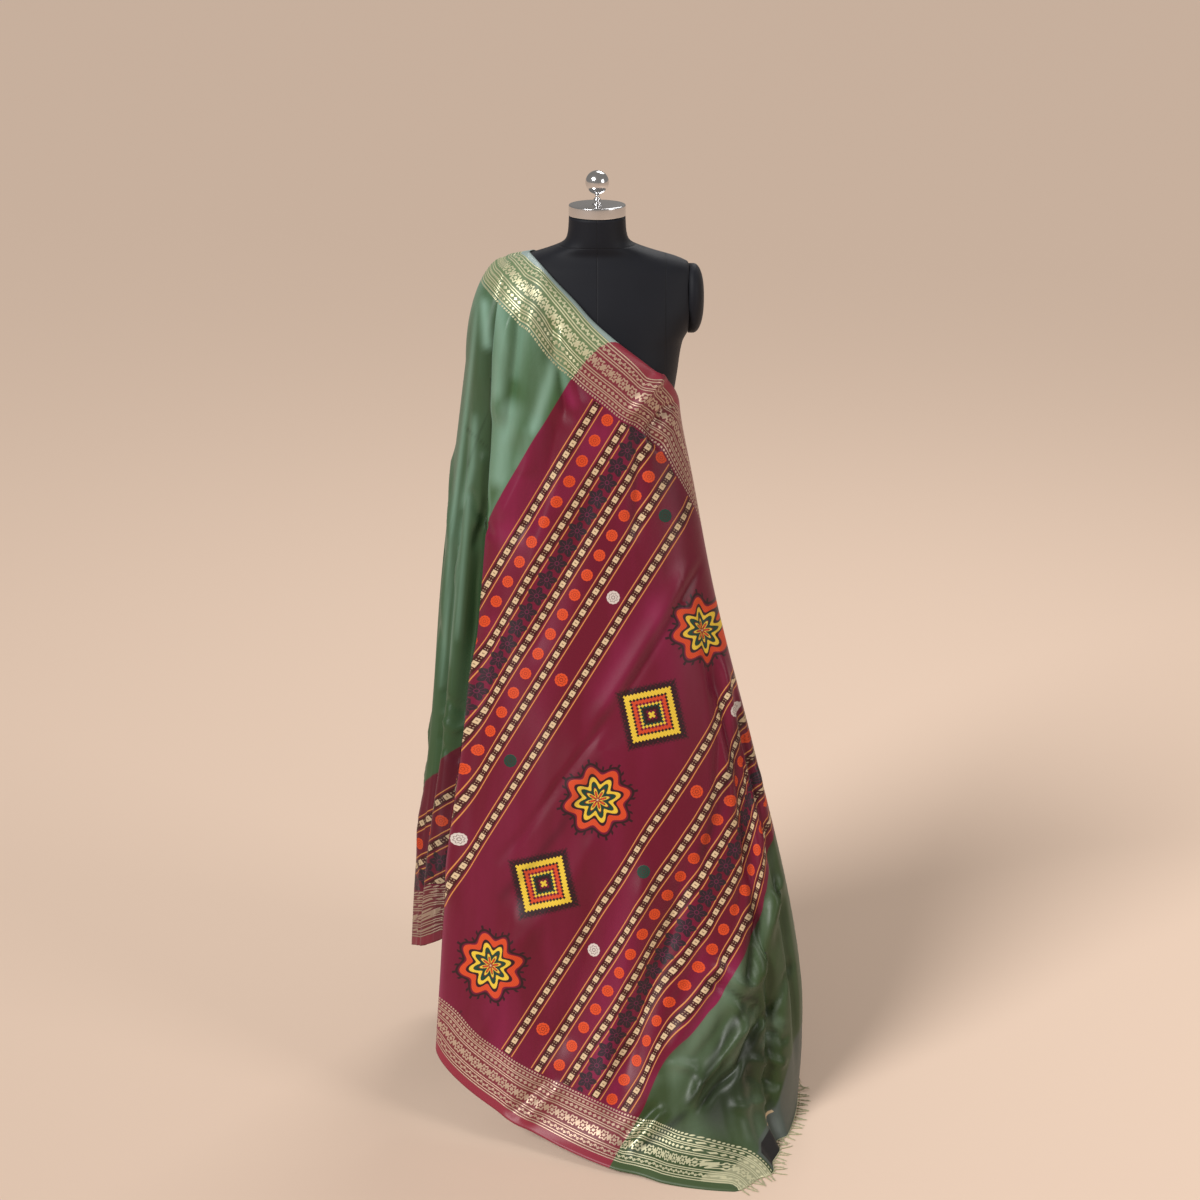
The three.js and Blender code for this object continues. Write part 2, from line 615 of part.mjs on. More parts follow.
const form = new THREE.Group();
form.add(
  piece("torso", torso(), formCloth),
  piece("arm_plate_right", armPlate(1), formCloth),
  piece("arm_plate_left", armPlate(-1), formCloth),
  piece("neck_cap", neckCap(), chrome),
  piece("finial", finial(), chrome),
  piece("pole", pole(), chrome),
  piece("stand_base", standBase(), paintedSteel),
);

const display = new THREE.Group();
display.add(saree, form);

export default display;
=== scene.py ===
"""A silk saree draped over a limbless dress form on a round stand.

Metres, +Z up, -Y towards the viewer; the origin is the middle of the stand's base on the floor.
"""

import logging
import math
from collections.abc import Sequence
from dataclasses import dataclass
from enum import Enum

import bmesh
import bpy
import numpy as np
from mathutils import Matrix, Vector


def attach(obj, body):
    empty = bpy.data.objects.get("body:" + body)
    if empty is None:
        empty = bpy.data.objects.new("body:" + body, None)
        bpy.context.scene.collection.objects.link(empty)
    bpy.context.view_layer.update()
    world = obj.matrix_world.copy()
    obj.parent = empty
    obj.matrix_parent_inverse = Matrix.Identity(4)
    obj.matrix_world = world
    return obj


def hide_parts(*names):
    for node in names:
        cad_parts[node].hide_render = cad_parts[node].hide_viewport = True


Tone = tuple[float, float, float]

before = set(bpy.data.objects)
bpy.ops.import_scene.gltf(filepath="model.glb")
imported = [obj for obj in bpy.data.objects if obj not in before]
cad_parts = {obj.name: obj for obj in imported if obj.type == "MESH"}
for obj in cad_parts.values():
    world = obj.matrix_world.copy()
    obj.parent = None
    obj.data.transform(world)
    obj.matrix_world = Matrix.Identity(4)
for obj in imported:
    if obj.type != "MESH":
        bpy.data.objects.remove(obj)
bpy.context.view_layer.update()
LOG = logging.getLogger("saree")

# The saree's own cut and how its coloured stretches follow each other from the fringed end
SAREE_WIDTH = 1.2
END_GREEN = 0.21
PALLU = 0.815
BODY_START = END_GREEN + PALLU
BORDER = 0.106
CLOTH = 0.0014

# Heights that the pieces share
SHOULDER = 1.4
SIDE_SELVEDGE = 1.326
TOP_CORNER = 0.83
FOLD_FOOT = 0.128
PLEAT_FOOT = 0.345
LEFT_FOOT = 0.205
BACK_FOOT = 0.262

# Shares of the front's width: the pleat is below 0 and the left side below that; the upper end lies on
# the shoulder's crest up to the first of the other two, and on the upper selvedge up to the second
PLEAT_SHARE = -0.02
CREST_FOOT = 0.16
CROSSING = 0.79

# Metres along the saree at the two ends of the upper selvedge, and across it at the right side's foot
SELVEDGE_AT_CREST = 1.288
SELVEDGE_AT_SIDE = 0.828
END_AT_SIDE = 0.27

# How sharply the hem drops from the fold to the floor, and the way over the shoulder by its chord
FOOT_DROP = 2.4
OVER_SHOULDER = 1.12

# The camera of the photograph: its place, how many degrees it looks down, and its focal length in pixels
CAMERA_PLACE = (0.005, -4.2, 2.4)
CAMERA_DOWN = 19.2
SENSOR = 36.0
FOCAL_PIXELS = 2362
FRAME_PIXELS = 1200

# The studio
LIGHT_AIM = (0, 0, 0.9)
KEY_WAY = (2.5, 2.5, -2.7)
FLOOR_HALF = 60.0
FLOOR_COLOUR = (0.72, 0.545, 0.425, 1.0)
ROOM_COLOUR = (0.92, 0.86, 0.80, 1.0)
ROOM_STRENGTH = 0.27


@dataclass(frozen=True)
class PlanRow:
    """The hanging cloth's plan at one height: the left fold, the foremost line, the right side, the
    left side and the back end, how square the front is, and how far the left pleat runs under."""

    z: float
    fold: tuple[float, float]
    front: tuple[float, float]
    side: tuple[float, float]
    square: float
    left: tuple[float, float]
    back: tuple[float, float]
    pleat: float


PLAN = (
    PlanRow(0.00, (-0.314, -0.284), (0.248, -0.542), (0.386, -0.205),
            1.5, (-0.378, 0.054), (-0.020, 0.214), 0.118),
    PlanRow(0.04, (-0.311, -0.275), (0.196, -0.462), (0.388, -0.212),
            1.55, (-0.376, 0.053), (-0.020, 0.213), 0.115),
    PlanRow(0.12, (-0.307, -0.257), (0.142, -0.402), (0.391, -0.210),
            1.65, (-0.371, 0.051), (-0.022, 0.211), 0.106),
    PlanRow(0.24, (-0.299, -0.230), (0.106, -0.356), (0.388, -0.198),
            1.75, (-0.365, 0.048), (-0.026, 0.204), 0.090),
    PlanRow(0.42, (-0.285, -0.190), (0.080, -0.311), (0.359, -0.176),
            1.8, (-0.352, 0.042), (-0.034, 0.192), 0.062),
    PlanRow(0.69, (-0.246, -0.139), (0.052, -0.256), (0.292, -0.132),
            1.85, (-0.320, 0.032), (-0.046, 0.176), 0.028),
    PlanRow(0.97, (-0.215, -0.108), (0.028, -0.206), (0.219, -0.084),
            1.9, (-0.295, 0.021), (-0.062, 0.160), 0.011),
    PlanRow(1.20, (-0.196, -0.099), (0.004, -0.166), (0.173, -0.052),
            1.95, (-0.266, 0.011), (-0.076, 0.138), 0.005),
    PlanRow(1.32, (-0.188, -0.095), (0.000, -0.152), (0.150, -0.034),
            2.0, (-0.250, 0.006), (-0.082, 0.130), 0.001),
    PlanRow(1.40, (-0.185, -0.092), (0.000, -0.146), (0.150, -0.028),
            2.0, (-0.239, 0.002), (-0.085, 0.128), 0.0),
)


@dataclass(frozen=True)
class SelvedgePoint:
    """A point of the upper selvedge across the chest."""

    x: float
    y: float
    z: float


UPPER_SELVEDGE = (
    SelvedgePoint(-0.122, -0.006, 1.600),
    SelvedgePoint(-0.100, -0.053, 1.586),
    SelvedgePoint(-0.074, -0.073, 1.561),
    SelvedgePoint(-0.039, -0.094, 1.529),
    SelvedgePoint(-0.009, -0.109, 1.498),
    SelvedgePoint(0.031, -0.119, 1.464),
    SelvedgePoint(0.076, -0.118, 1.427),
    SelvedgePoint(0.104, -0.113, 1.400),
)
CREST_INNER = np.array([-0.122, -0.006, 1.600])
CREST_OUTER = np.array([-0.170, 0.000, 1.588])


@dataclass(frozen=True)
class ReturnRow:
    """Where the right side goes on round the back, at one height."""

    z: float
    back: tuple[float, float]


RETURN = (
    ReturnRow(0.00, (0.110, 0.250)),
    ReturnRow(0.40, (0.092, 0.222)),
    ReturnRow(0.83, (0.058, 0.168)),
    ReturnRow(1.10, (0.052, 0.136)),
    ReturnRow(1.33, (0.050, 0.122)),
)


@dataclass(frozen=True)
class Fold:
    """A long hanging fold: its share across the stretch at top and bottom, the heights between which
    it runs, its half width and its depth (minus for a trough)."""

    top: float
    bottom: float
    high: float
    low: float
    half: float
    depth: float


FRONT_FOLDS = (
    Fold(0.90, 0.86, 0.98, 0.38, 0.020, -0.013),
    Fold(0.95, 0.94, 0.90, 0.33, 0.016, -0.011),
    Fold(0.80, 0.72, 0.42, 0.03, 0.034, 0.015),
    Fold(0.90, 0.82, 0.33, 0.04, 0.026, -0.016),
    Fold(0.30, 0.22, 0.82, 0.06, 0.040, 0.006),
    Fold(0.52, 0.46, 0.70, 0.06, 0.044, -0.006),
)
LEFT_FOLDS = (
    Fold(0.52, 0.57, 1.42, 0.20, 0.017, -0.015),
    Fold(0.71, 0.76, 1.34, 0.20, 0.022, 0.009),
    Fold(0.91, 0.92, 1.30, 0.22, 0.020, -0.017),
    Fold(0.34, 0.40, 1.30, 0.20, 0.020, 0.007),
    Fold(0.12, 0.16, 1.10, 0.20, 0.018, -0.006),
)
RETURN_FOLDS = (
    Fold(0.20, 0.12, 1.25, 0.00, 0.030, -0.020),
    Fold(0.40, 0.28, 1.20, 0.00, 0.028, 0.017),
    Fold(0.60, 0.44, 1.15, 0.06, 0.026, -0.018),
    Fold(0.80, 0.62, 1.05, 0.20, 0.024, 0.014),
)


@dataclass(frozen=True)
class Crease:
    """A crease pressed into the cloth: its path over two axes of space, half width and depth at its middle
    (minus for a trough), and the side of the cloth that it lies on, as an axis and a sign."""

    path: tuple[tuple[float, float], ...]
    half: float
    depth: float
    axes: tuple[int, int] = (0, 2)
    facing: tuple[int, int] = (1, -1)


CHEST_CREASES = (
    Crease(((-0.149, 1.515), (-0.166, 1.429), (-0.174, 1.310)), 0.022, 0.0119),
    Crease(((-0.112, 1.537), (-0.119, 1.429), (-0.138, 1.270)), 0.03, 0.0121),
    Crease(((-0.135, 1.526), (-0.147, 1.411), (-0.163, 1.285)), 0.012, -0.0068),
    Crease(((-0.084, 1.505), (-0.066, 1.411), (-0.056, 1.325)), 0.013, -0.0085),
    Crease(((-0.072, 1.483), (-0.044, 1.408), (-0.026, 1.340)), 0.018, 0.0102),
    Crease(((-0.101, 1.325), (-0.126, 1.235), (-0.175, 1.135)), 0.024, 0.0085),
    Crease(((-0.066, 1.345), (-0.087, 1.235), (-0.139, 1.105)), 0.022, -0.0085),
    Crease(((-0.021, 1.365), (-0.066, 1.220), (-0.140, 0.995)), 0.035, 0.0085),
    Crease(((0.005, 1.240), (-0.048, 1.075), (-0.122, 0.890)), 0.03, -0.0068),
    Crease(((0.118, 1.400), (0.075, 1.355), (0.058, 1.330)), 0.014, 0.0136),
    Crease(((0.135, 1.345), (0.094, 1.305), (0.112, 1.265)), 0.012, -0.0119),
    Crease(((0.069, 1.340), (0.076, 1.235), (0.070, 1.110)), 0.018, -0.0085),
)
MIDDLE_CREASES = (
    Crease(((0.190, 1.050), (0.143, 0.980), (0.032, 0.810)), 0.01, -0.0059),
    Crease(((0.032, 0.810), (-0.072, 0.665), (-0.180, 0.510)), 0.01, -0.0059),
    Crease(((0.168, 1.060), (0.076, 0.915), (-0.013, 0.770)), 0.024, 0.0085),
    Crease(((0.005, 0.590), (-0.067, 0.455), (-0.179, 0.330)), 0.03, 0.0068),
    Crease(((-0.216, 0.905), (-0.246, 0.675), (-0.280, 0.415)), 0.02, 0.0102),
    Crease(((-0.180, 0.990), (-0.204, 0.765), (-0.236, 0.505), (-0.254, 0.315)), 0.022, -0.003),
    Crease(((-0.142, 0.450), (-0.172, 0.295), (-0.218, 0.175)), 0.035, 0.0102),
    Crease(((0.004, 0.495), (-0.031, 0.310), (-0.075, 0.165)), 0.036, -0.0119),
    Crease(((0.092, 0.535), (0.057, 0.350), (0.017, 0.170), (-0.003, 0.085)), 0.034, 0.0136),
    Crease(((0.170, 0.530), (0.131, 0.385), (0.079, 0.245), (0.046, 0.135)), 0.028, -0.0136),
)
RIGHT_CREASES = (
    Crease(((0.209, 0.895), (0.224, 0.735), (0.217, 0.595), (0.189, 0.490)), 0.014, -0.0062),
    Crease(((0.232, 0.870), (0.248, 0.710), (0.244, 0.570)), 0.014, 0.0062),
    Crease(((0.266, 0.740), (0.283, 0.615), (0.275, 0.495), (0.254, 0.390)), 0.014, -0.0060),
    Crease(((0.297, 0.670), (0.306, 0.555), (0.296, 0.435)), 0.013, 0.0058),
    Crease(((0.188, 0.985), (0.202, 0.880), (0.218, 0.805)), 0.012, -0.0060),
    Crease(((0.199, 0.310), (0.242, 0.285), (0.287, 0.250)), 0.011, -0.0100),
    Crease(((0.287, 0.250), (0.307, 0.215), (0.300, 0.200)), 0.012, -0.0135),
    Crease(((0.212, 0.340), (0.253, 0.305), (0.295, 0.275)), 0.011, 0.0090),
    Crease(((0.340, 0.455), (0.318, 0.375), (0.295, 0.275)), 0.016, 0.0149),
    Crease(((0.318, 0.445), (0.294, 0.380), (0.280, 0.285)), 0.010, -0.0100),
    Crease(((0.366, 0.300), (0.339, 0.240), (0.310, 0.210)), 0.011, -0.0080),
    Crease(((0.280, 0.235), (0.242, 0.180), (0.192, 0.135), (0.170, 0.095)), 0.015, 0.0175),
    Crease(((0.297, 0.210), (0.262, 0.155), (0.211, 0.115), (0.185, 0.090)), 0.012, -0.0135),
    Crease(((0.256, 0.255), (0.213, 0.200), (0.170, 0.160)), 0.016, -0.0060),
    Crease(((0.227, 0.340), (0.189, 0.275), (0.145, 0.205), (0.129, 0.175)), 0.020, 0.0070),
    Crease(((0.197, 0.365), (0.159, 0.295), (0.122, 0.225)), 0.018, -0.0050),
)
FLOOR_CREASES = (
    Crease(((0.129, 0.170), (0.175, 0.160), (0.189, 0.120)), 0.013, 0.0070),
    Crease(((0.306, 0.180), (0.334, 0.175), (0.360, 0.155)), 0.011, -0.0085),
    Crease(((0.281, 0.155), (0.312, 0.135), (0.357, 0.115)), 0.011, 0.0085),
    Crease(((0.274, 0.135), (0.306, 0.105), (0.346, 0.080)), 0.011, -0.0085),
    Crease(((0.246, 0.095), (0.282, 0.080), (0.324, 0.070)), 0.011, 0.0068),
    Crease(((0.125, 0.095), (0.096, 0.065), (0.055, 0.025)), 0.01, 0.0102),
    Crease(((0.111, 0.100), (0.078, 0.070), (0.037, 0.035)), 0.01, -0.0085),
    Crease(((-0.088, 0.130), (-0.123, 0.095), (-0.167, 0.055)), 0.012, -0.0085),
    Crease(((-0.066, 0.120), (-0.101, 0.085), (-0.136, 0.050)), 0.013, 0.0085),
)
LEFT_CREASES = (
    Crease(((-0.175, 1.200), (-0.205, 1.135), (-0.225, 1.060)), 0.012, -0.005),
    Crease(((-0.235, 1.180), (-0.215, 1.130), (-0.188, 1.100)), 0.012, -0.006),
    Crease(((-0.205, 1.250), (-0.212, 1.160), (-0.222, 1.100)), 0.014, 0.006),
    Crease(((-0.290, 0.780), (-0.262, 0.762), (-0.238, 0.745)), 0.011, -0.005),
    Crease(((-0.292, 0.735), (-0.268, 0.720), (-0.244, 0.725)), 0.011, 0.005),
    Crease(((-0.300, 0.690), (-0.275, 0.672), (-0.250, 0.660)), 0.011, -0.004),
    Crease(((0.05, 1.28), (-0.02, 1.14), (-0.08, 0.98)), 0.016, 0.006, (1, 2), (0, -1)),
    Crease(((0.02, 1.05), (-0.05, 0.86), (-0.10, 0.62)), 0.016, -0.006, (1, 2), (0, -1)),
    Crease(((0.04, 0.70), (-0.03, 0.55), (-0.09, 0.36)), 0.015, 0.005, (1, 2), (0, -1)),
)
SIDE_CREASES = (
    Crease(((-0.02, 1.06), (0.03, 0.90), (0.05, 0.72)), 0.016, 0.006, (1, 2), (0, 1)),
    Crease(((0.02, 0.98), (0.07, 0.84), (0.11, 0.74)), 0.014, -0.005, (1, 2), (0, 1)),
    Crease(((-0.03, 0.62), (0.02, 0.48), (0.03, 0.30)), 0.016, -0.006, (1, 2), (0, 1)),
    Crease(((0.00, 0.50), (0.06, 0.42), (0.09, 0.46)), 0.013, 0.005, (1, 2), (0, 1)),
)
BACK_CREASES = (
    Crease(((-0.10, 1.34), (-0.15, 1.20), (-0.22, 1.08)), 0.020, -0.005, (0, 2), (1, 1)),
    Crease(((-0.14, 1.37), (-0.20, 1.26), (-0.25, 1.19)), 0.018, 0.005, (0, 2), (1, 1)),
    Crease(((-0.20, 0.98), (-0.15, 0.92), (-0.12, 0.94)), 0.014, -0.004, (0, 2), (1, 1)),
    Crease(((-0.24, 0.72), (-0.19, 0.63), (-0.15, 0.61)), 0.015, 0.004, (0, 2), (1, 1)),
    Crease(((-0.26, 0.46), (-0.21, 0.42), (-0.17, 0.33)), 0.014, -0.004, (0, 2), (1, 1)),
)


@dataclass(frozen=True)
class Sheen:
    """A painted silvery sheen patch, or a painted shade, on the front: its path over X and Z, half width and
    strength.
    """

    path: tuple[tuple[float, float], ...]
    half: float
    strength: float


# Painted sheen patches and painted shades, laid into the silk's colour through each piece's light map
CHEST_SHEENS = (
    Sheen(((-0.175, 1.540), (-0.168, 1.456), (-0.178, 1.355)), 0.013, 0.7),
    Sheen(((-0.132, 1.492), (-0.149, 1.395)), 0.012, 0.45),
    Sheen(((-0.064, 1.465), (-0.093, 1.370), (-0.118, 1.295)), 0.011, 0.85),
    Sheen(((-0.067, 1.456), (-0.055, 1.390), (-0.041, 1.350)), 0.009, 0.6),
    Sheen(((-0.152, 1.355), (-0.166, 1.285), (-0.180, 1.195)), 0.02, 0.8),
    Sheen(((-0.115, 1.315), (-0.145, 1.230)), 0.02, 0.4),
    Sheen(((-0.138, 1.230), (-0.166, 1.095)), 0.03, 0.45),
    Sheen(((0.005, 1.320), (-0.067, 1.175)), 0.028, 0.35),
    Sheen(((0.103, 1.005), (0.004, 0.825)), 0.03, 0.3),
    Sheen(((-0.177, 0.955), (-0.220, 0.760)), 0.02, 0.3),
)
END_SHEENS = (
    Sheen(((0.259, 0.345), (0.235, 0.285), (0.183, 0.215), (0.135, 0.140)), 0.022, 0.8),
    Sheen(((0.340, 0.205), (0.314, 0.160)), 0.018, 0.75),
    Sheen(((0.326, 0.510), (0.309, 0.380), (0.287, 0.285)), 0.008, 0.35),
    Sheen(((0.298, 0.235), (0.242, 0.155), (0.188, 0.100)), 0.007, 0.55),
    Sheen(((0.077, 0.120), (0.115, 0.150)), 0.014, 0.4),
)
FRONT_SHADES = (
    Sheen(((-0.117, 1.563), (-0.092, 1.483), (-0.083, 1.429)), 0.014, 0.4),
    Sheen(((0.075, 1.315), (0.168, 1.130)), 0.02, 0.35),
    Sheen(((0.307, 0.190), (0.258, 0.130), (0.204, 0.070)), 0.036, 0.9),
    Sheen(((0.274, 0.260), (0.218, 0.175), (0.166, 0.100)), 0.007, 0.8),
    Sheen(((0.283, 0.440), (0.278, 0.295)), 0.008, 0.6),
    Sheen(((0.165, 0.090), (0.114, 0.055), (0.055, 0.025)), 0.006, 0.85),
    Sheen(((0.157, 0.160), (0.188, 0.140), (0.176, 0.115)), 0.009, 0.6),
    Sheen(((0.353, 0.185), (0.312, 0.215), (0.296, 0.255), (0.234, 0.290)), 0.005, 0.85),
    Sheen(((0.188, 0.525), (0.252, 0.695), (0.268, 0.780)), 0.012, 0.55),
    Sheen(((0.303, 0.605), (0.289, 0.700), (0.264, 0.795)), 0.01, 0.5),
    Sheen(((0.002, 0.715), (-0.068, 0.585), (-0.179, 0.445)), 0.008, 0.4),
)
FALL_SHEENS = (
    Sheen(((-0.214, 1.510), (-0.237, 1.325), (-0.266, 1.114), (-0.294, 0.783)), 0.005, 0.55),
    Sheen(((-0.201, 1.523), (-0.195, 1.441)), 0.01, 0.9),
    Sheen(((-0.221, 1.312), (-0.228, 1.220), (-0.246, 1.135)), 0.007, 0.55),
    Sheen(((-0.232, 1.200), (-0.260, 0.895)), 0.006, 0.5),
    Sheen(((-0.248, 1.114), (-0.276, 0.839)), 0.004, 0.35),
)
FALL_SHADES = (
    Sheen(((-0.186, 1.346), (-0.212, 1.284), (-0.239, 1.209)), 0.005, 0.8),
    Sheen(((-0.243, 1.288), (-0.216, 1.273), (-0.184, 1.247)), 0.006, 0.85),
    Sheen(((-0.231, 1.256), (-0.188, 1.224)), 0.004, 0.6),
    Sheen(((-0.288, 0.805), (-0.273, 0.779), (-0.243, 0.771)), 0.005, 0.7),
    Sheen(((-0.293, 0.759), (-0.248, 0.734)), 0.004, 0.6),
    Sheen(((-0.283, 0.849), (-0.239, 0.823)), 0.004, 0.45),
)


def smooth(value: np.ndarray | float) -> np.ndarray | float:
    """Smoothstep from 0 to 1, clamped at both ends."""
    held = np.clip(value, 0.0, 1.0)
    return held * held * (3 - 2 * held)


def bell(value: np.ndarray) -> np.ndarray:
    """A soft hump that is 1 in the middle and 0 beyond plus or minus 1."""
    return np.where(np.abs(value) < 1, (1 - np.minimum(np.abs(value), 1) ** 2) ** 2, 0.0)


def pinch(value: np.ndarray) -> np.ndarray:
    """A hump with a narrow crest, as a crease in silk has: 1 in the middle and 0 beyond 1."""
    away = np.minimum(np.sqrt(value**2 + 0.012), 1.0)
    return (1 - away) ** 1.6 / (1 - math.sqrt(0.012)) ** 1.6


def lerp(a: np.ndarray | float, b: np.ndarray | float, share: np.ndarray | float) -> np.ndarray | float:
    """The value a share of the way from a to b."""
    return a + (b - a) * share


def along(rows: Sequence, name: str, at: np.ndarray | float, by: str = "z") -> np.ndarray:
    """A smooth cubic through one column of a table.

    Args:
        rows: the table's rows, each with the named fields.
        name: the field to read.
        at: where to read it, on the field that by names.
        by: the field that orders the rows.

    Returns:
        One value, or one pair, for each place asked for.
    """
    key = np.array([getattr(row, by) for row in rows], float)
    value = np.array([getattr(row, name) for row in rows], float).reshape(len(rows), -1)
    if key[0] > key[-1]:
        key, value = key[::-1], value[::-1]
    slope = np.empty_like(value)
    slope[1:-1] = (value[2:] - value[:-2]) / (key[2:] - key[:-2])[:, None]
    slope[0] = (value[1] - value[0]) / (key[1] - key[0])
    slope[-1] = (value[-1] - value[-2]) / (key[-1] - key[-2])
    spots = np.clip(np.atleast_1d(np.asarray(at, float)), key[0], key[-1])
    i = np.clip(np.searchsorted(key, spots, side="right") - 1, 0, len(key) - 2)
    span = (key[i + 1] - key[i])[:, None]
    u = (spots - key[i])[:, None] / span
    out = (2 * u**3 - 3 * u**2 + 1) * value[i] + (u**3 - 2 * u**2 + u) * slope[i] * span
    out += (3 * u**2 - 2 * u**3) * value[i + 1] + (u**3 - u**2) * slope[i + 1] * span
    return out if out.shape[1] > 1 else out[:, 0]


def plan(name: str, z: float) -> np.ndarray:
    """The named plan point at one height."""
    return along(PLAN, name, z)[0]


def quarter(start: np.ndarray, end: np.ndarray, square: float, steps: int = 64) -> np.ndarray:
    """A quarter of a superellipse between two plan points, leaving the first along Y.

    Args:
        start: the point that the curve leaves along Y.
        end: the point that it reaches along X.
        square: its exponent, 2 for an ellipse.
        steps: how many stretches it has.

    Returns:
        The points, first to last.
    """
    angle = np.linspace(0, math.pi / 2, steps + 1)
    c = np.maximum(np.cos(angle), 0) ** (2 / square)
    s = np.maximum(np.sin(angle), 0) ** (2 / square)
    return np.stack([end[0] + (start[0] - end[0]) * c, start[1] + (end[1] - start[1]) * s], 1)


class Line:
    """A plan line or a line in space, measured by its own length."""

    def __init__(self, points: np.ndarray) -> None:
        """Keeps the points and adds up the lengths between them."""
        self.points = np.asarray(points, float)
        steps = np.linalg.norm(np.diff(self.points, axis=0), axis=1)
        self.sums = np.concatenate([[0.0], np.cumsum(steps)])
        self.length = float(self.sums[-1])

    def at(self, distance: np.ndarray | float) -> np.ndarray:
        """The points at these lengths along the line."""
        spots = np.atleast_1d(distance)
        return np.stack([np.interp(spots, self.sums, axis) for axis in self.points.T], 1)

    def outward(self, distance: np.ndarray | float, reach: float = 0.006) -> np.ndarray:
        """The level unit normals to the right of the way the plan line runs.

        Args:
            distance: lengths along the line.
            reach: how far to each side the direction is read.

        Returns:
            One level unit vector for each length.
        """
        spots = np.atleast_1d(distance)
        low = np.clip(spots - reach, 0, self.length)
        high = np.clip(spots + reach, 0, self.length)
        ahead = self.at(high) - self.at(low)
        ahead /= np.maximum(np.linalg.norm(ahead, axis=1, keepdims=True), 1e-9)
        return np.stack([ahead[:, 1], -ahead[:, 0]], 1)

    def distance(self, places: np.ndarray) -> np.ndarray:
        """How far each place is from the line.

        Args:
            places: points in the plan or in space, as the line's own.

        Returns:
            One distance for each place, in metres.
        """
        best = np.full(len(places), 1e9)
        for a, b in zip(self.points[:-1], self.points[1:]):
            step = b - a
            share = np.clip((places - a) @ step / max(float(step @ step), 1e-12), 0, 1)
            best = np.minimum(best, np.linalg.norm(places - a - share[:, None] * step, axis=1))
        return best


def front_line(z: float) -> Line:
    """The front layer's plan at one height, from the left fold to the right side."""
    square = along(PLAN, "square", z)[0]
    fold, front, side = (plan(name, z) for name in ("fold", "front", "side"))
    return Line(np.vstack([quarter(fold, front, square), quarter(side, front, square)[::-1][1:]]))


def left_line(z: float) -> Line:
    """The left side's plan at one height, from the side's middle forward to the fold."""
    return Line(quarter(plan("left", z), plan("fold", z), 2))


def back_line(z: float) -> Line:
    """The back's plan at one height, from the left side to the back end."""
    return Line(quarter(plan("left", z), plan("back", z), 2))


def return_line(z: float) -> Line:
    """The right side going on round the back at one height."""
    return Line(quarter(plan("side", z), along(RETURN, "back", z)[0], 2))


def corner_share() -> float:
    """The share of the front's plan on the floor where the hem ends and the fringed end begins."""
    reach = Line(quarter(plan("fold", 0), plan("front", 0), along(PLAN, "square", 0)[0]))
    return reach.length / front_line(0).length


def at_right_side(z: np.ndarray) -> tuple[np.ndarray, np.ndarray]:
    """Metres along and across the saree, down the right side's edge of the front.

    Args:
        z: heights above the floor.

    Returns:
        Metres along the saree, and metres across it.
    """
    heights = (0.0, 0.13, 0.24, 0.46, 0.53, 0.66, 0.97, SIDE_SELVEDGE)
    along_it = np.interp(z, heights, (0.0, 0.026, 0.062, 0.158, 0.205, 0.330, 0.595, SELVEDGE_AT_SIDE))
    across_it = np.interp(z, heights, (END_AT_SIDE, 0.365, 0.456, 0.615, 0.665, 0.757, 0.970, SAREE_WIDTH))
    return along_it, across_it


def on_left_side(z: np.ndarray, forward: np.ndarray) -> tuple[np.ndarray, np.ndarray]:
    """Metres along and across the saree on the left side, by height and by the way forward."""
    return 1.025 + 0.69 * (z - 0.505) - 0.58 * forward, 0.72 * (z - LEFT_FOOT) + 0.69 * forward


def crest(share: np.ndarray) -> np.ndarray:
    """The shoulder crest from its inner end (0) to its outer end (1)."""
    return CREST_INNER + (CREST_OUTER - CREST_INNER) * np.asarray(share)[:, None]


def selvedge(share: np.ndarray) -> np.ndarray:
    """The upper selvedge across the chest, from the crest (0) to the right side (1)."""
    x = lerp(UPPER_SELVEDGE[0].x, UPPER_SELVEDGE[-1].x, np.asarray(share))
    y = along(UPPER_SELVEDGE, "y", x, "x")
    return np.stack([x, y, along(UPPER_SELVEDGE, "z", x, "x")], 1)


def rise(foot: np.ndarray, top: np.ndarray, up: np.ndarray) -> np.ndarray:
    """Points on the way over the shoulder, from the shoulder line up to the crest or the selvedge.

    Args:
        foot: each column's point on the shoulder line.
        top: each column's point on the crest or selvedge.
        up: how far up it each point is, from 0 to 1.

    Returns:
        One point in space for each row of the arguments.
    """
    angle = np.clip(up, 0, 1) * math.pi / 2
    aside = smooth((-foot[:, 0] - 0.185) / 0.045)
    near = np.maximum(np.cos(angle), 0) ** lerp(0.85, 1.2, aside)
    high = np.sin(angle)
    level = top[:, :2] + (foot[:, :2] - top[:, :2]) * near[:, None]
    return np.column_stack([level, SHOULDER + (top[:, 2] - SHOULDER) * high])


def surface_normals(points: np.ndarray) -> np.ndarray:
    """The unit normals of a grid of points, rows by columns, facing as its faces do.

    Args:
        points: the grid, rows by columns by 3.

    Returns:
        One unit vector for each point.
    """
    right = np.gradient(points, axis=1)
    up = np.gradient(points, axis=0)
    normal = np.cross(right, up)
    size = np.linalg.norm(normal, axis=2, keepdims=True)
    return normal / np.maximum(size, 1e-12)


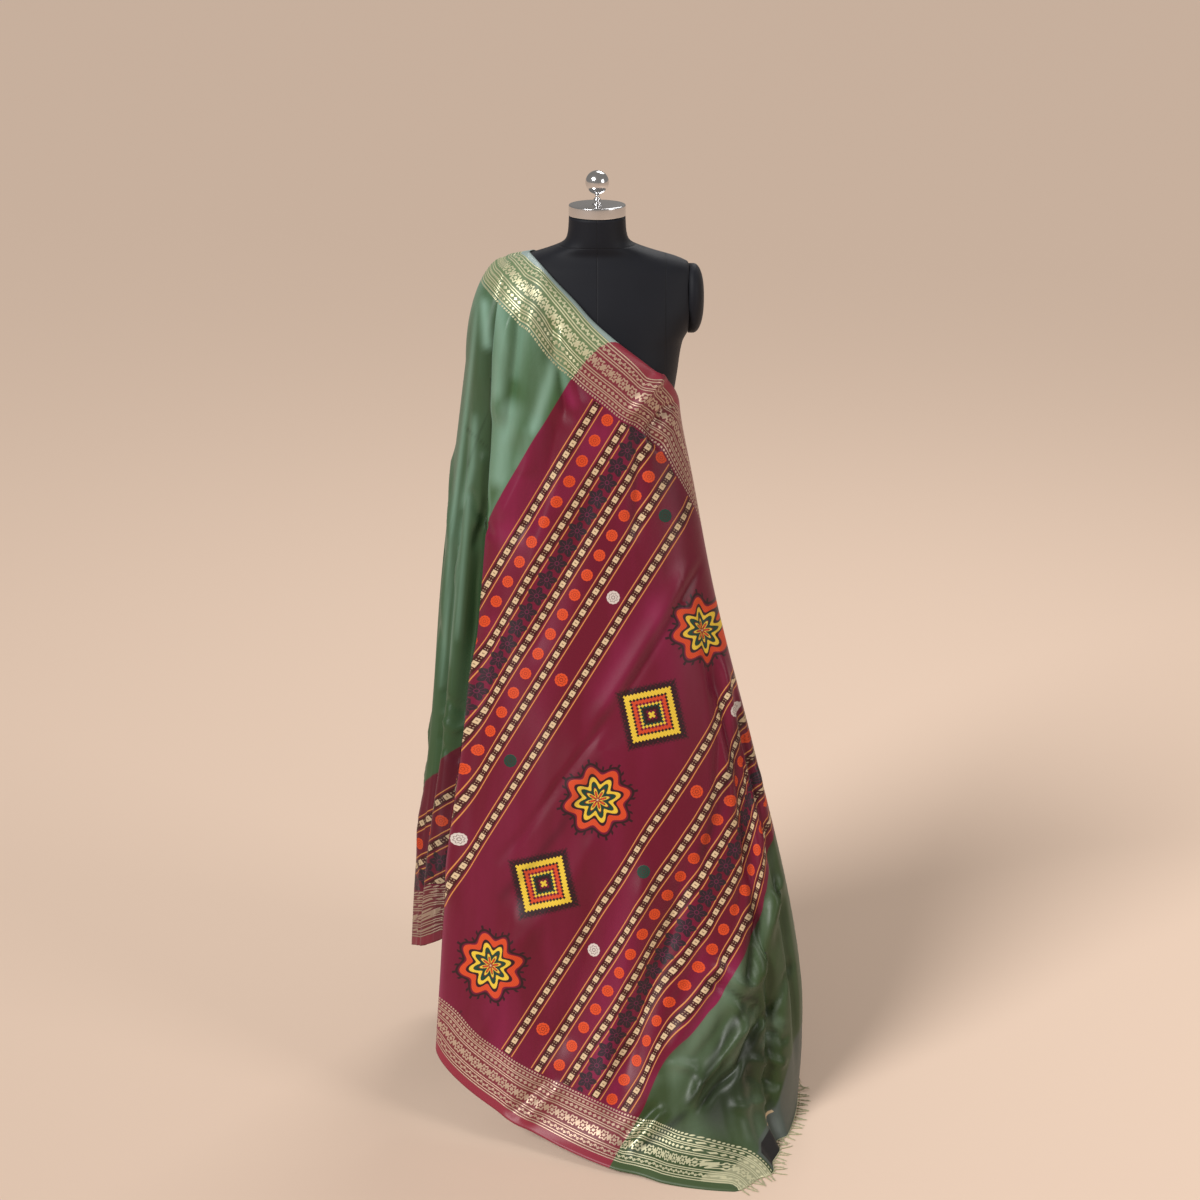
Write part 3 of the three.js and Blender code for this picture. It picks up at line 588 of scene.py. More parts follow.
def press(points: np.ndarray, creases: Sequence[Crease]) -> np.ndarray:
    """Presses creases into a grid of points.

    Args:
        points: the grid, rows by columns.
        creases: the creases, each on the side of the cloth that it names.

    Returns:
        The moved grid.
    """
    normals = surface_normals(points)
    flat = points.reshape(-1, 3)
    push = np.zeros(len(flat))
    for crease in creases:
        axis, sign = crease.facing
        side = smooth(sign * normals.reshape(-1, 3)[:, axis] * 3)
        line = Line(np.array(crease.path))
        places = flat[:, list(crease.axes)]
        away = line.distance(places)
        start, end = line.points[0], line.points[-1]
        run = (end - start) / max(float(np.linalg.norm(end - start)), 1e-9)
        share = (places - start) @ run / max(float(np.linalg.norm(end - start)), 1e-9)
        taper = smooth(share * 5 + 0.25) * smooth((1 - share) * 5 + 0.25)
        push += crease.depth * pinch(away / crease.half / 1.3) * taper * side
    return (flat + normals.reshape(-1, 3) * push[:, None]).reshape(points.shape)


def glow(points: np.ndarray, sheens: Sequence[Sheen]) -> np.ndarray:
    """How strongly a set of painted sheen patches, or painted shades, shows at each point of a grid, from 0 to 1.

    Args:
        points: the grid, rows by columns by 3.
        sheens: the patches, each by its path over X and Z.

    Returns:
        Rows by columns, the strongest patch at each point.
    """
    places = points.reshape(-1, 3)[:, [0, 2]]
    best = np.zeros(len(places))
    for sheen in sheens:
        line = Line(np.array(sheen.path))
        start, end = line.points[0], line.points[-1]
        reach = float(np.linalg.norm(end - start))
        share = (places - start) @ (end - start) / reach**2
        taper = smooth(share * 4 + 0.5) * smooth((1 - share) * 4 + 0.5)
        best = np.maximum(best, sheen.strength * np.exp(-((line.distance(places) / sheen.half) ** 2)) * taper)
    return best.reshape(points.shape[:2])


def hang_folds(line: Line, shares: np.ndarray, z: float, folds: Sequence[Fold]) -> np.ndarray:
    """How far the long folds push each column out at one height.

    Args:
        line: the plan at this height.
        shares: each column's share of its length.
        z: the height.
        folds: the folds, in shares of the same line.

    Returns:
        One distance for each column, in metres.
    """
    push = np.zeros(len(shares))
    for fold in folds:
        down = (fold.high - z) / (fold.high - fold.low)
        if not 0 < down < 1.5:
            continue
        centre = lerp(fold.top, fold.bottom, min(down, 1))
        strength = smooth(min(down * 2.5, 1)) * smooth(min((1.5 - down) * 3, 1))
        push += fold.depth * strength * bell((shares - centre) * line.length / fold.half)
    return push


def between_levels(levels: np.ndarray, stack: np.ndarray, z: np.ndarray) -> np.ndarray:
    """Reads plan columns between levels.

    Args:
        levels: the heights, rising.
        stack: levels by columns by 2, the plan at each level.
        z: rows by columns, the height of every point.

    Returns:
        Rows by columns by 3, the points in space.
    """
    span = levels[1] - levels[0]
    place = np.clip((z - levels[0]) / span, 0, len(levels) - 1 - 1e-9)
    low = place.astype(int)
    share = (place - low)[..., None]
    column = np.broadcast_to(np.arange(stack.shape[1]), z.shape)
    level = stack[low, column] * (1 - share) + stack[low + 1, column] * share
    return np.dstack([level, z])


def cloth_object(name: str, points: np.ndarray, fabric: np.ndarray, edges: np.ndarray,
                 light: np.ndarray | None = None) -> bpy.types.Object:
    """Makes a sheet of cloth from a grid of points.

    Args:
        name: the object's name.
        points: rows by columns by 3, columns running so that the faces look outwards.
        fabric: rows by columns by 2, metres along and across the saree.
        edges: rows by columns by 2, metres from the hem and from the upper selvedge.
        light: rows by columns by 2, the painted sheen and the painted shade of the cloth.

    Returns:
        The object, with its wall's thickness as a live modifier.
    """
    rows, columns = points.shape[:2]
    bm = bmesh.new()
    bmesh.ops.create_grid(bm, x_segments=columns - 1, y_segments=rows - 1, size=1.0)
    mesh = bpy.data.meshes.new(name)
    bm.to_mesh(mesh)
    bm.free()
    flat = np.empty(len(mesh.vertices) * 3)
    mesh.vertices.foreach_get("co", flat)
    spots = flat.reshape(-1, 3)
    column = np.rint((spots[:, 0] + 1) / 2 * (columns - 1)).astype(int)
    row = np.rint((spots[:, 1] + 1) / 2 * (rows - 1)).astype(int)
    mesh.vertices.foreach_set("co", points[row, column].ravel())
    corner = np.empty(len(mesh.loops), np.int32)
    mesh.loops.foreach_get("vertex_index", corner)
    light = np.zeros_like(edges) if light is None else light
    for label, values in (("fabric", fabric), ("edges", edges), ("light", light)):
        layer = mesh.uv_layers.new(name=label)
        layer.data.foreach_set("uv", values[row, column][corner].astype(np.float32).ravel())
    mesh.shade_smooth()
    mesh.update()
    obj = bpy.data.objects.new(name, mesh)
    bpy.context.scene.collection.objects.link(obj)
    wall = obj.modifiers.new("wall", "SOLIDIFY")
    wall.thickness = CLOTH
    wall.offset = -1
    wall.use_even_offset = False
    return obj


def tube(bm: bmesh.types.BMesh, path: np.ndarray, radii: np.ndarray, sides: int) -> None:
    """Adds a closed tube along a path, from a grid that is rolled up round it.

    Args:
        bm: the mesh that it is added to.
        path: the middle of the tube, point by point.
        radii: its radius at each point.
        sides: how many sides it has.
    """
    steps = len(path)
    ahead = np.gradient(path, axis=0)
    ahead /= np.maximum(np.linalg.norm(ahead, axis=1, keepdims=True), 1e-9)
    side = np.cross(ahead, (0.0, 0.02, 1.0))
    side /= np.maximum(np.linalg.norm(side, axis=1, keepdims=True), 1e-9)
    up = np.cross(side, ahead)
    made = bmesh.ops.create_grid(bm, x_segments=sides, y_segments=steps - 1, size=1.0)["verts"]
    for vert in made:
        row = round((vert.co.y + 1) / 2 * (steps - 1))
        turn = (vert.co.x + 1) * math.pi
        ring = math.cos(turn) * side[row] + math.sin(turn) * up[row]
        vert.co = path[row] + radii[row] * ring
    bmesh.ops.remove_doubles(bm, verts=made, dist=1e-6)


Socket = bpy.types.NodeSocket
Value = float | Socket


class Graph:
    """Short ways to add nodes to a material or a node group."""

    def __init__(self, tree: bpy.types.NodeTree) -> None:
        """Keeps the tree that nodes are added to."""
        self.tree = tree

    def put(self, socket: Socket, value: Value | tuple) -> None:
        """Links a socket to another, or gives it a plain value.

        Args:
            socket: the input to fill.
            value: another node's output, or a number or colour.
        """
        if isinstance(value, Socket):
            self.tree.links.new(value, socket)
        else:
            socket.default_value = value

    def node(self, kind: str, inputs: dict | None = None, **settings: object) -> bpy.types.Node:
        """Adds a node with its settings and inputs.

        Args:
            kind: the node's type.
            inputs: values or sockets by the input's name or number.
            settings: the node's own settings.

        Returns:
            The new node.
        """
        made = self.tree.nodes.new(kind)
        for name, value in settings.items():
            setattr(made, name, value)
        for name, value in (inputs or {}).items():
            self.put(made.inputs[name], value)
        return made

    def math(self, operation: str, a: Value, b: Value = 0.0, c: Value = 0.0,
             clamp: bool = False) -> Socket:
        """Adds one step of arithmetic and returns its result."""
        made = self.node("ShaderNodeMath", {0: a, 1: b, 2: c}, operation=operation, use_clamp=clamp)
        return made.outputs[0]

    def times(self, a: Value, b: Value, clamp: bool = False) -> Socket:
        """The product of two values."""
        return self.math("MULTIPLY", a, b, clamp=clamp)

    def plus(self, a: Value, b: Value, clamp: bool = False) -> Socket:
        """The sum of two values."""
        return self.math("ADD", a, b, clamp=clamp)

    def minus(self, a: Value, b: Value) -> Socket:
        """The first value less the second."""
        return self.math("SUBTRACT", a, b)

    def scaled(self, value: Value, factor: Value, more: Value, clamp: bool = False) -> Socket:
        """The value times a factor, and some more."""
        return self.math("MULTIPLY_ADD", value, factor, more, clamp)

    def size(self, value: Value) -> Socket:
        """The value without its sign."""
        return self.math("ABSOLUTE", value)

    def reach(self, a: Value, b: Value) -> Socket:
        """How far a point is from the middle, by its two distances."""
        return self.math("SQRT", self.plus(self.both(a, a), self.both(b, b)))

    def below(self, value: Value, limit: Value, soft: float = 0.0007) -> Socket:
        """A mask that is 1 where the value is below the limit, over a soft edge."""
        return self.scaled(self.minus(limit, value), 1 / soft, 0.5, clamp=True)

    def near(self, value: Value, centre: Value, half: Value, soft: float = 0.0007) -> Socket:
        """A mask that is 1 within half of the centre."""
        return self.below(self.size(self.minus(value, centre)), half, soft)

    def both(self, a: Value, b: Value) -> Socket:
        """The product of two masks."""
        return self.times(a, b)

    def either(self, masks: Sequence[Value]) -> Socket:
        """The largest of several masks."""
        best = masks[0]
        for mask in masks[1:]:
            best = self.math("MAXIMUM", best, mask)
        return best

    def tint(self, share: Value, under: Value | tuple, over: Value | tuple) -> Socket:
        """Lays one colour over another by a mask.

        Args:
            share: the mask.
            under: the colour where it is 0.
            over: the colour where it is 1.

        Returns:
            The mixed colour.
        """
        made = self.node("ShaderNodeMix", data_type="RGBA")
        self.put(made.inputs[0], share)
        for index, value in ((6, under), (7, over)):
            self.put(made.inputs[index], value if isinstance(value, Socket) else (*value, 1.0))
        return made.outputs[2]

    def repeat(self, value: Value, period: float, phase: float = 0.5) -> Socket:
        """The distance from the middle of each repeat, in metres."""
        return self.scaled(self.math("FRACT", self.scaled(value, 1 / period, phase)), period, -period / 2)

    def uv_map(self, name: str) -> bpy.types.NodeOutputs:
        """The two values of one of the piece's UV maps."""
        layer = self.node("ShaderNodeUVMap", uv_map=name)
        return self.node("ShaderNodeSeparateXYZ", {0: layer.outputs[0]}).outputs

    def noise(self, vector: Value, scale: float, detail: float = 2.0) -> Socket:
        """Soft noise from 0 to 1."""
        made = self.node("ShaderNodeTexNoise", {"Vector": vector, "Scale": scale, "Detail": detail})
        return made.outputs[0]

    def bump(self, height: Value, distance: float, strength: float) -> Socket:
        """The normal of a fine relief, this many metres deep."""
        settings = {"Height": height, "Distance": distance, "Strength": strength}
        return self.node("ShaderNodeBump", settings).outputs[0]

    def place(self) -> Socket:
        """Each point's place on the object, in metres."""
        return self.node("ShaderNodeTexCoord").outputs["Object"]

    def group(self, tree: bpy.types.NodeTree, **inputs: Value) -> bpy.types.NodeOutputs:
        """Places a node group and returns its outputs."""
        return self.node("ShaderNodeGroup", inputs, node_tree=tree).outputs


def new_group(name: str, inputs: Sequence[str],
              outputs: Sequence[str]) -> tuple[Graph, bpy.types.Node, bpy.types.Node]:
    """Starts a shader node group.

    Args:
        name: the group's name.
        inputs: its inputs, all plain numbers.
        outputs: its outputs, all plain numbers.

    Returns:
        The graph to add nodes to, the group's input node and its output node.
    """
    tree = bpy.data.node_groups.new(name, "ShaderNodeTree")
    for label in inputs:
        tree.interface.new_socket(label, in_out="INPUT", socket_type="NodeSocketFloat")
    for label in outputs:
        tree.interface.new_socket(label, in_out="OUTPUT", socket_type="NodeSocketFloat")
    graph = Graph(tree)
    return graph, tree.nodes.new("NodeGroupInput"), tree.nodes.new("NodeGroupOutput")


def new_material(name: str) -> tuple[bpy.types.Material, Graph, bpy.types.Node]:
    """Starts a material and returns it with its graph and its shader."""
    material = bpy.data.materials.new(name)
    material.use_nodes = True
    return material, Graph(material.node_tree), material.node_tree.nodes["Principled BSDF"]


class SilkPatterns:
    """The woven patterns as shader node groups, each built once."""

    block_repeat = 0.0222
    roundel_repeat = 0.0414
    roundel_radius = 0.0106
    dark_repeat = 0.0335
    butti_repeat = 0.174
    butti_radius = 0.012
    motif_repeat = 0.183
    tooth = 0.0064
    bead = 0.018
    thread = 0.0011

    def __init__(self) -> None:
        """Builds every group."""
        self.block_line = self._block_line()
        self.roundels = self._roundels()
        self.dark_flowers = self._dark_flowers()
        self.motifs = self._motifs()
        self.border = self._border()
        self.weave = self._weave()

    def _block_line(self) -> bpy.types.NodeTree:
        """A dark stripe of cream blocks between two fine bright lines."""
        g, enter, leave = new_group("block line", ("Along", "Across"), ("Lines", "Ground", "Blocks"))
        across = g.size(enter.outputs["Across"])
        spot = g.repeat(enter.outputs["Along"], self.block_repeat)
        block = g.both(g.near(spot, 0.0, 0.0054), g.below(across, 0.0046))
        waist = g.both(g.near(spot, 0.0, 0.0011), g.near(across, 0.0, 0.0021))
        block = g.both(block, g.minus(1.0, g.times(waist, 0.6)))
        edge = g.size(g.minus(g.size(spot), 0.0085))
        dots = g.both(g.below(edge, 0.0010), g.near(across, 0.0022, 0.0011))
        g.put(leave.inputs["Blocks"], g.either([block, g.times(dots, 0.55)]))
        g.put(leave.inputs["Ground"], g.below(across, 0.0075))
        g.put(leave.inputs["Lines"], g.near(across, 0.0112, 0.0009))
        return g.tree

    def _roundels(self) -> bpy.types.NodeTree:
        """A row of round flowers, with their cut lines as a second mask."""
        g, enter, leave = new_group("roundels", ("Along", "Across", "Radius"), ("Disc", "Cut"))
        across = enter.outputs["Across"]
        spot = enter.outputs["Along"]
        reach = g.reach(spot, across)
        share = g.math("DIVIDE", reach, enter.outputs["Radius"])
        turn = g.math("ARCTAN2", across, spot)
        petals = g.scaled(g.math("COSINE", g.times(turn, 8.0)), 0.09, 0.6)
        line = g.near(share, petals, 0.055, 0.08)
        eye = g.near(share, 0.24, 0.06, 0.08)
        edge = g.scaled(g.math("COSINE", g.times(turn, 12.0)), 0.025, 0.98)
        g.put(leave.inputs["Disc"], g.below(share, edge, 0.08))
        g.put(leave.inputs["Cut"], g.either([line, eye]))
        return g.tree

    def _dark_flowers(self) -> bpy.types.NodeTree:
        """A row of dark open flowers that nearly touch."""
        g, enter, leave = new_group("dark flowers", ("Along", "Across"), ("Flower", "Cut"))
        across = enter.outputs["Across"]
        spot = g.repeat(enter.outputs["Along"], self.dark_repeat)
        reach = g.reach(spot, across)
        turn = g.math("ARCTAN2", across, spot)
        five = g.math("COSINE", g.scaled(turn, 5.0, 0.6))
        limit = g.scaled(five, 0.0034, 0.0150)
        vein = g.size(g.math("SINE", g.times(turn, 5.0)))
        cut = g.both(g.below(vein, 0.22, 0.12), g.near(reach, 0.0085, 0.004, 0.002))
        g.put(leave.inputs["Flower"], g.below(reach, limit, 0.0016))
        g.put(leave.inputs["Cut"], g.either([cut, g.near(reach, 0.0035, 0.0008)]))
        return g.tree

    def _motifs(self) -> bpy.types.NodeTree:
        """A row that alternates a stepped diamond with an eight-petalled flower."""
        names = ("Black", "Yellow", "Orange", "Green", "Cream")
        g, enter, leave = new_group("motifs", ("Along", "Across"), names)
        across, length = enter.outputs["Across"], enter.outputs["Along"]
        spot = g.repeat(length, self.motif_repeat)
        step = 0.0045
        stairs = []
        for value in (spot, across):
            size = g.size(value)
            count = g.math("FLOOR", g.scaled(size, 1 / step, 0.5))
            stairs.append(g.times(count, step))
        stepped = g.plus(stairs[0], stairs[1])
        ring = {
            "Black": [(0.0650, 0.0030), (0.0440, 0.0026), (0.0170, 0.0066)],
            "Yellow": [(0.0550, 0.0062), (0.0280, 0.0024), (0.0020, 0.0048)],
            "Orange": [(0.0365, 0.0044)],
            "Green": [(0.0225, 0.0022)],
        }
        reach = g.reach(spot, across)
        turn = g.math("ARCTAN2", across, spot)
        wave = g.math("COSINE", g.times(turn, 8.0))
        petal = g.minus(reach, g.times(wave, 0.007))
        bloom = {
            "Black": [(0.0600, 0.0024), (0.0390, 0.0026)],
            "Orange": [(0.0480, 0.0060), (0.0045, 0.0035)],
            "Yellow": [(0.0315, 0.0042), (0.0125, 0.0024)],
            "Green": [(0.0220, 0.0046)],
        }
        place = g.math("FLOOR", g.scaled(length, 1 / self.motif_repeat, 0.5))
        odd = g.math("MODULO", g.size(place), 2.0)
        even = g.minus(1.0, odd)
        comb = g.either([g.near(g.repeat(value, self.tooth), 0.0, 0.0021) for value in (spot, across)])
        teeth = g.both(g.near(stepped, 0.0715, 0.0050, 0.0008), g.both(comb, even))
        ray = g.size(g.math("SINE", g.times(turn, 16.0)))
        rays = g.both(g.near(petal, 0.0655, 0.0035, 0.0012), g.both(g.below(ray, 0.45, 0.1), odd))
        teeth = g.either([teeth, rays])
        ribs = g.scaled(g.near(g.repeat(across, 0.0026), 0.0, 0.0008, 0.0006), 0.42, 0.58)
        for name in names[:4]:
            one = g.either([g.near(stepped, c, h, 0.0008) for c, h in ring[name]])
            two = g.either([g.near(petal, c, h, 0.0012) for c, h in bloom[name]])
            mask = g.either([g.both(one, even), g.both(two, odd)])
            if name == "Black":
                mask = g.times(g.either([mask, teeth]), 0.88)
            elif name != "Green":
                mask = g.both(mask, g.math("MAXIMUM", ribs, 0.72))
            g.put(leave.inputs[name], mask)
        rows = [g.near(g.repeat(value, self.bead), 0.0, 0.0017) for value in (spot, across)]
        beads = g.both(*rows)
        field = g.either([g.both(g.near(stepped, 0.0300, 0.004), even), g.both(g.below(reach, 0.006), odd)])
        g.put(leave.inputs["Cream"], g.both(beads, field))
        return g.tree

    def _border(self) -> bpy.types.NodeTree:
        """A gold border by the distance from the cloth's edge: line pairs, vines, medallions, dots."""
        g, enter, leave = new_group("gold border", ("Along", "Edge"), ("Gold", "Ground", "Plain"))
        length, edge = enter.outputs["Along"], enter.outputs["Edge"]
        lines = (0.0175, 0.0222, 0.0352, 0.0392, 0.0667, 0.0707, 0.0828, 0.0862, 0.0962)
        masks = [g.near(edge, place, 0.0009, 0.0006) for place in lines]
        wave = g.math("SINE", g.times(length, 2 * math.pi / 0.013))
        vine = g.near(edge, g.scaled(wave, 0.0027, 0.0287), 0.0011, 0.0008)
        rows = [
            (0.0287, 0.0065, 0.0017, 0.0), (0.0770, 0.0092, 0.0033, 0.3), (0.0912, 0.0080, 0.0026, 0.0),
        ]
        lozenges = []
        for place, period, size, phase in rows:
            u = g.size(g.repeat(length, period, phase))
            v = g.size(g.minus(edge, place))
            lozenges.append(g.below(g.plus(g.times(u, 0.8), v), size, 0.0008))
        spot = g.repeat(length, 0.0205)
        above = g.minus(edge, 0.0530)
        reach = g.reach(spot, above)
        turn = g.math("ARCTAN2", above, spot)
        petals = g.scaled(g.math("COSINE", g.times(turn, 6.0)), 0.0014, 0.0072)
        medallion = g.either([g.near(reach, petals, 0.0016, 0.0008), g.below(reach, 0.0030, 0.0008)])
        sprig_spot = g.size(g.repeat(length, 0.0205, 0.0))
        reach = g.plus(g.times(sprig_spot, 1.6), g.size(above))
        sprig = g.below(reach, 0.0075, 0.001)
        dot_spot = g.repeat(length, 0.0054)
        drop = g.minus(edge, 0.1012)
        dots = g.below(g.reach(dot_spot, drop), 0.0018)
        g.put(leave.inputs["Gold"], g.either(masks + lozenges + [vine, medallion, sprig, dots]))
        g.put(leave.inputs["Ground"], g.near(edge, 0.0570, 0.0400, 0.001))
        g.put(leave.inputs["Plain"], g.below(edge, 0.0160, 0.001))
        return g.tree

    def _weave(self) -> bpy.types.NodeTree:
        """Fine threads with slubs, as a height and a light change of shade."""
        g, enter, leave = new_group("silk weave", ("Along", "Across"), ("Height", "Shade"))
        length, across = enter.outputs["Along"], enter.outputs["Across"]
        warp = g.math("SINE", g.times(across, 2 * math.pi / self.thread))
        weft = g.math("SINE", g.times(length, 2 * math.pi / self.thread))

        def streaks(along_by: float, across_by: float, detail: float) -> Value:
            """Noise drawn out along one of the two thread directions."""
            x, y = g.times(length, along_by), g.times(across, across_by)
            return g.noise(g.node("ShaderNodeCombineXYZ", {"X": x, "Y": y}).outputs[0], 1.0, detail)

        slub = streaks(6.0, 900.0, 3.0)
        cross = streaks(700.0, 9.0, 2.0)
        threads = g.scaled(g.times(warp, weft), 0.18, 0.5)
        uneven = g.plus(slub, cross)
        g.put(leave.inputs["Height"], g.plus(threads, g.times(uneven, 0.35)))
        g.put(leave.inputs["Shade"], g.times(uneven, 0.5))
        return g.tree


class Row(Enum):
    """What a row across the pallu is woven with."""

    BLOCKS = "blocks"
    ROUNDELS = "roundels"
    DARK = "dark flowers"
    BUTTIS = "buttis"


@dataclass(frozen=True)
class PalluRow:
    """One row across the pallu, by its distance from the green body."""

    at: float
    kind: Row


PALLU_ROWS = (
    PalluRow(0.062, Row.BLOCKS), PalluRow(0.092, Row.ROUNDELS), PalluRow(0.122, Row.BLOCKS),
    PalluRow(0.150, Row.DARK), PalluRow(0.178, Row.BLOCKS), PalluRow(0.207, Row.ROUNDELS),
    PalluRow(0.236, Row.BLOCKS), PalluRow(0.268, Row.BUTTIS), PalluRow(0.298, Row.BLOCKS),
    PalluRow(0.551, Row.BLOCKS), PalluRow(0.583, Row.BUTTIS), PalluRow(0.615, Row.BLOCKS),
    PalluRow(0.644, Row.ROUNDELS), PalluRow(0.673, Row.BLOCKS), PalluRow(0.701, Row.DARK),
    PalluRow(0.729, Row.BLOCKS), PalluRow(0.758, Row.ROUNDELS), PalluRow(0.787, Row.BLOCKS),
)
MOTIF_ROW = 0.4400


@dataclass(frozen=True)
class SareeSilk:
    """The shot silk: green body and end, maroon pallu with woven rows, and gold borders, with painted sheen and
    painted shade in its colour.
    """

    # Each ground's lighter tone (green, end and maroon) is its lit, silvery copy, mixed in as painted sheen; the
    # maroon one also colours the dark flowers' veins
    green: Tone = (0.044, 0.1020, 0.036)
    green_sheen_tone: Tone = (0.275, 0.4550, 0.360)
    end_green: Tone = (0.030, 0.0520, 0.014)
    end_sheen_tone: Tone = (0.200, 0.2900, 0.200)
    maroon: Tone = (0.128, 0.0030, 0.018)
    maroon_sheen_and_veins: Tone = (0.400, 0.0240, 0.130)
    edge_green: Tone = (0.280, 0.360, 0.340)
    hem_green: Tone = (0.050, 0.080, 0.030)
    edge_maroon: Tone = (0.240, 0.022, 0.040)
    gold_green: Tone = (0.640, 0.610, 0.390)
    gold_maroon: Tone = (0.520, 0.370, 0.270)
    olive: Tone = (0.170, 0.210, 0.080)
    wine: Tone = (0.190, 0.040, 0.036)
    orange: Tone = (0.640, 0.064, 0.011)
    deep_orange: Tone = (0.250, 0.016, 0.006)
    cream: Tone = (0.640, 0.4700, 0.280)
    line: Tone = (0.620, 0.250, 0.060)
    brown: Tone = (0.052, 0.004, 0.005)
    slate: Tone = (0.013, 0.0125, 0.017)
    yellow: Tone = (0.800, 0.560, 0.040)
    leaf: Tone = (0.008, 0.045, 0.028)
    black: Tone = (0.010, 0.006, 0.007)
    white: Tone = (0.600, 0.520, 0.470)
    end_grey: Tone = (0.090, 0.105, 0.094)
    sheen_tint: tuple[float, float, float, float] = (0.80, 0.88, 1.0, 1.0)
    end_width: float = 0.036
    # Strengths of the painted sheen and the painted shade, and the height at which the painted sheen is weakest
    turned_shine: float = 0.55
    drift_shine: float = 0.42
    patch_shine: float = 0.62
    shade_hides: float = 0.75
    shade_tone: float = 0.22
    shade_depth: float = 0.85
    calm_height: float = 0.70
    metal: float = 0.5
    relief: float = 0.00035

    def build(self, patterns: SilkPatterns) -> bpy.types.Material:
        """Makes the material.

        Args:
            patterns: the woven patterns' node groups.

        Returns:
            The finished material.
        """
        material, g, shader = new_material("shot_silk")
        fabric, edges, light = (g.uv_map(name) for name in ("fabric", "edges", "light"))
        length, across = fabric[0], fabric[1]
        weave = g.group(patterns.weave, Along=length, Across=across)
        down = g.minus(BODY_START, length)
        in_pallu = g.near(down, PALLU / 2, PALLU / 2, 0.0012)
        green, maroon = self._grounds(g, self._painted_sheen(g, weave["Shade"], light), length)
        colour, thread = self._rows(g, patterns, maroon, down, across)
        colour = g.tint(in_pallu, green, colour)
        colour = self._end_band(g, colour, length, edges[0])
        plain = g.tint(in_pallu, green, maroon)
        zari = []
        upper = (edges[1], (self.edge_green, self.olive))
        lower = (edges[0], (self.hem_green, self.hem_green))
        for edge, ends in (upper, lower):
            made = g.group(patterns.border, Along=length, Edge=edge)
            inside = g.below(edge, BORDER, 0.001)
            colour = g.tint(inside, colour, plain)
            colour, gold = self._border(g, made, colour, inside, in_pallu, length, ends)
            thread = g.both(thread, g.minus(1.0, inside))
            zari.append(gold)
        zari = g.either(zari)
        # Painted shade: the colour darkened where the light map's shade is
        deep = g.node("ShaderNodeVectorMath", {0: colour, "Scale": self.shade_tone}, operation="SCALE")
        colour = g.tint(g.times(light[1], self.shade_depth), colour, deep.outputs[0])
        g.put(shader.inputs["Base Color"], colour)
        g.put(shader.inputs["Metallic"], g.times(zari, self.metal))
        rough = g.scaled(weave["Shade"], 0.16, 0.34)
        g.put(shader.inputs["Roughness"], g.plus(rough, g.times(thread, 0.22)))
        raised = g.times(g.either([zari, thread]), 1.4)
        height = g.plus(g.times(weave["Height"], 0.55), raised)
        g.put(shader.inputs["Normal"], g.bump(height, self.relief, 0.5))
        settings = {
            "Specular IOR Level": 0.34, "Sheen Weight": 0.05, "Sheen Roughness": 0.35,
            "Sheen Tint": self.sheen_tint, "Anisotropic": 0.4,
        }
        for name, value in settings.items():
            shader.inputs[name].default_value = value
        return material

    def _painted_sheen(self, g: Graph, shade: Value, light: bpy.types.NodeOutputs) -> Value:
        """How much painted silvery sheen the silk has, from 0 to 1, with painted shade taking it away.

        Args:
            g: the material's graph.
            shade: the weave's own light change of shade.
            light: the painted sheen patches and painted shades, from the piece's light map.

        Returns:
            The share of each ground's lit, silvery copy: a sheen by the facing angle, and painted sheen.
        """
        place = g.place()
        axes = g.node("ShaderNodeSeparateXYZ", {0: place}).outputs
        drawn = g.node("ShaderNodeCombineXYZ", {
            "X": g.times(axes[0], 13.0), "Y": g.times(axes[1], 9.0),
            "Z": g.times(axes[2], 2.4),
        })
        # Painted sheen: soft silvery streaks drawn out upright
        cloud = g.noise(drawn.outputs[0], 1.0, 4.0)
        drift = g.scaled(g.minus(cloud, 0.50), 3.0, 0.26, clamp=True)
        facing = g.node("ShaderNodeLayerWeight", {"Blend": 0.35}).outputs["Facing"]
        turned = g.times(g.times(facing, facing), self.turned_shine)
        lit = g.plus(turned, g.times(drift, self.drift_shine), clamp=True)
        lit = g.times(lit, g.scaled(shade, 0.8, 0.55))
        # Painted sheen: stronger above and below the calm height
        away = g.size(g.minus(axes[2], self.calm_height))
        lit = g.times(lit, g.scaled(away, 0.85, 0.35), clamp=True)
        # Painted shade takes the sheen away, and the painted sheen patches are added
        lit = g.times(lit, g.scaled(light[1], -self.shade_hides, 1.0))
        return g.plus(lit, g.times(light[0], self.patch_shine), clamp=True)

    def _grounds(self, g: Graph, lit: Value, length: Value) -> tuple[Value, Value]:
        """The green ground, deeper at the fringed end, and the maroon ground, each mixed with its lit copy as
        painted sheen.

        Args:
            g: the material's graph.
            lit: how much painted sheen the silk has.
            length: metres along the saree.

        Returns:
            The green, and the maroon.
        """
        last = g.below(length, END_GREEN + 0.05, 0.02)
        lit = g.times(lit, g.scaled(last, -0.25, 1.0))
        light = g.tint(last, self.green_sheen_tone, self.end_sheen_tone)
        green = g.tint(lit, g.tint(last, self.green, self.end_green), light)
        return green, g.tint(g.times(lit, 0.8), self.maroon, self.maroon_sheen_and_veins)

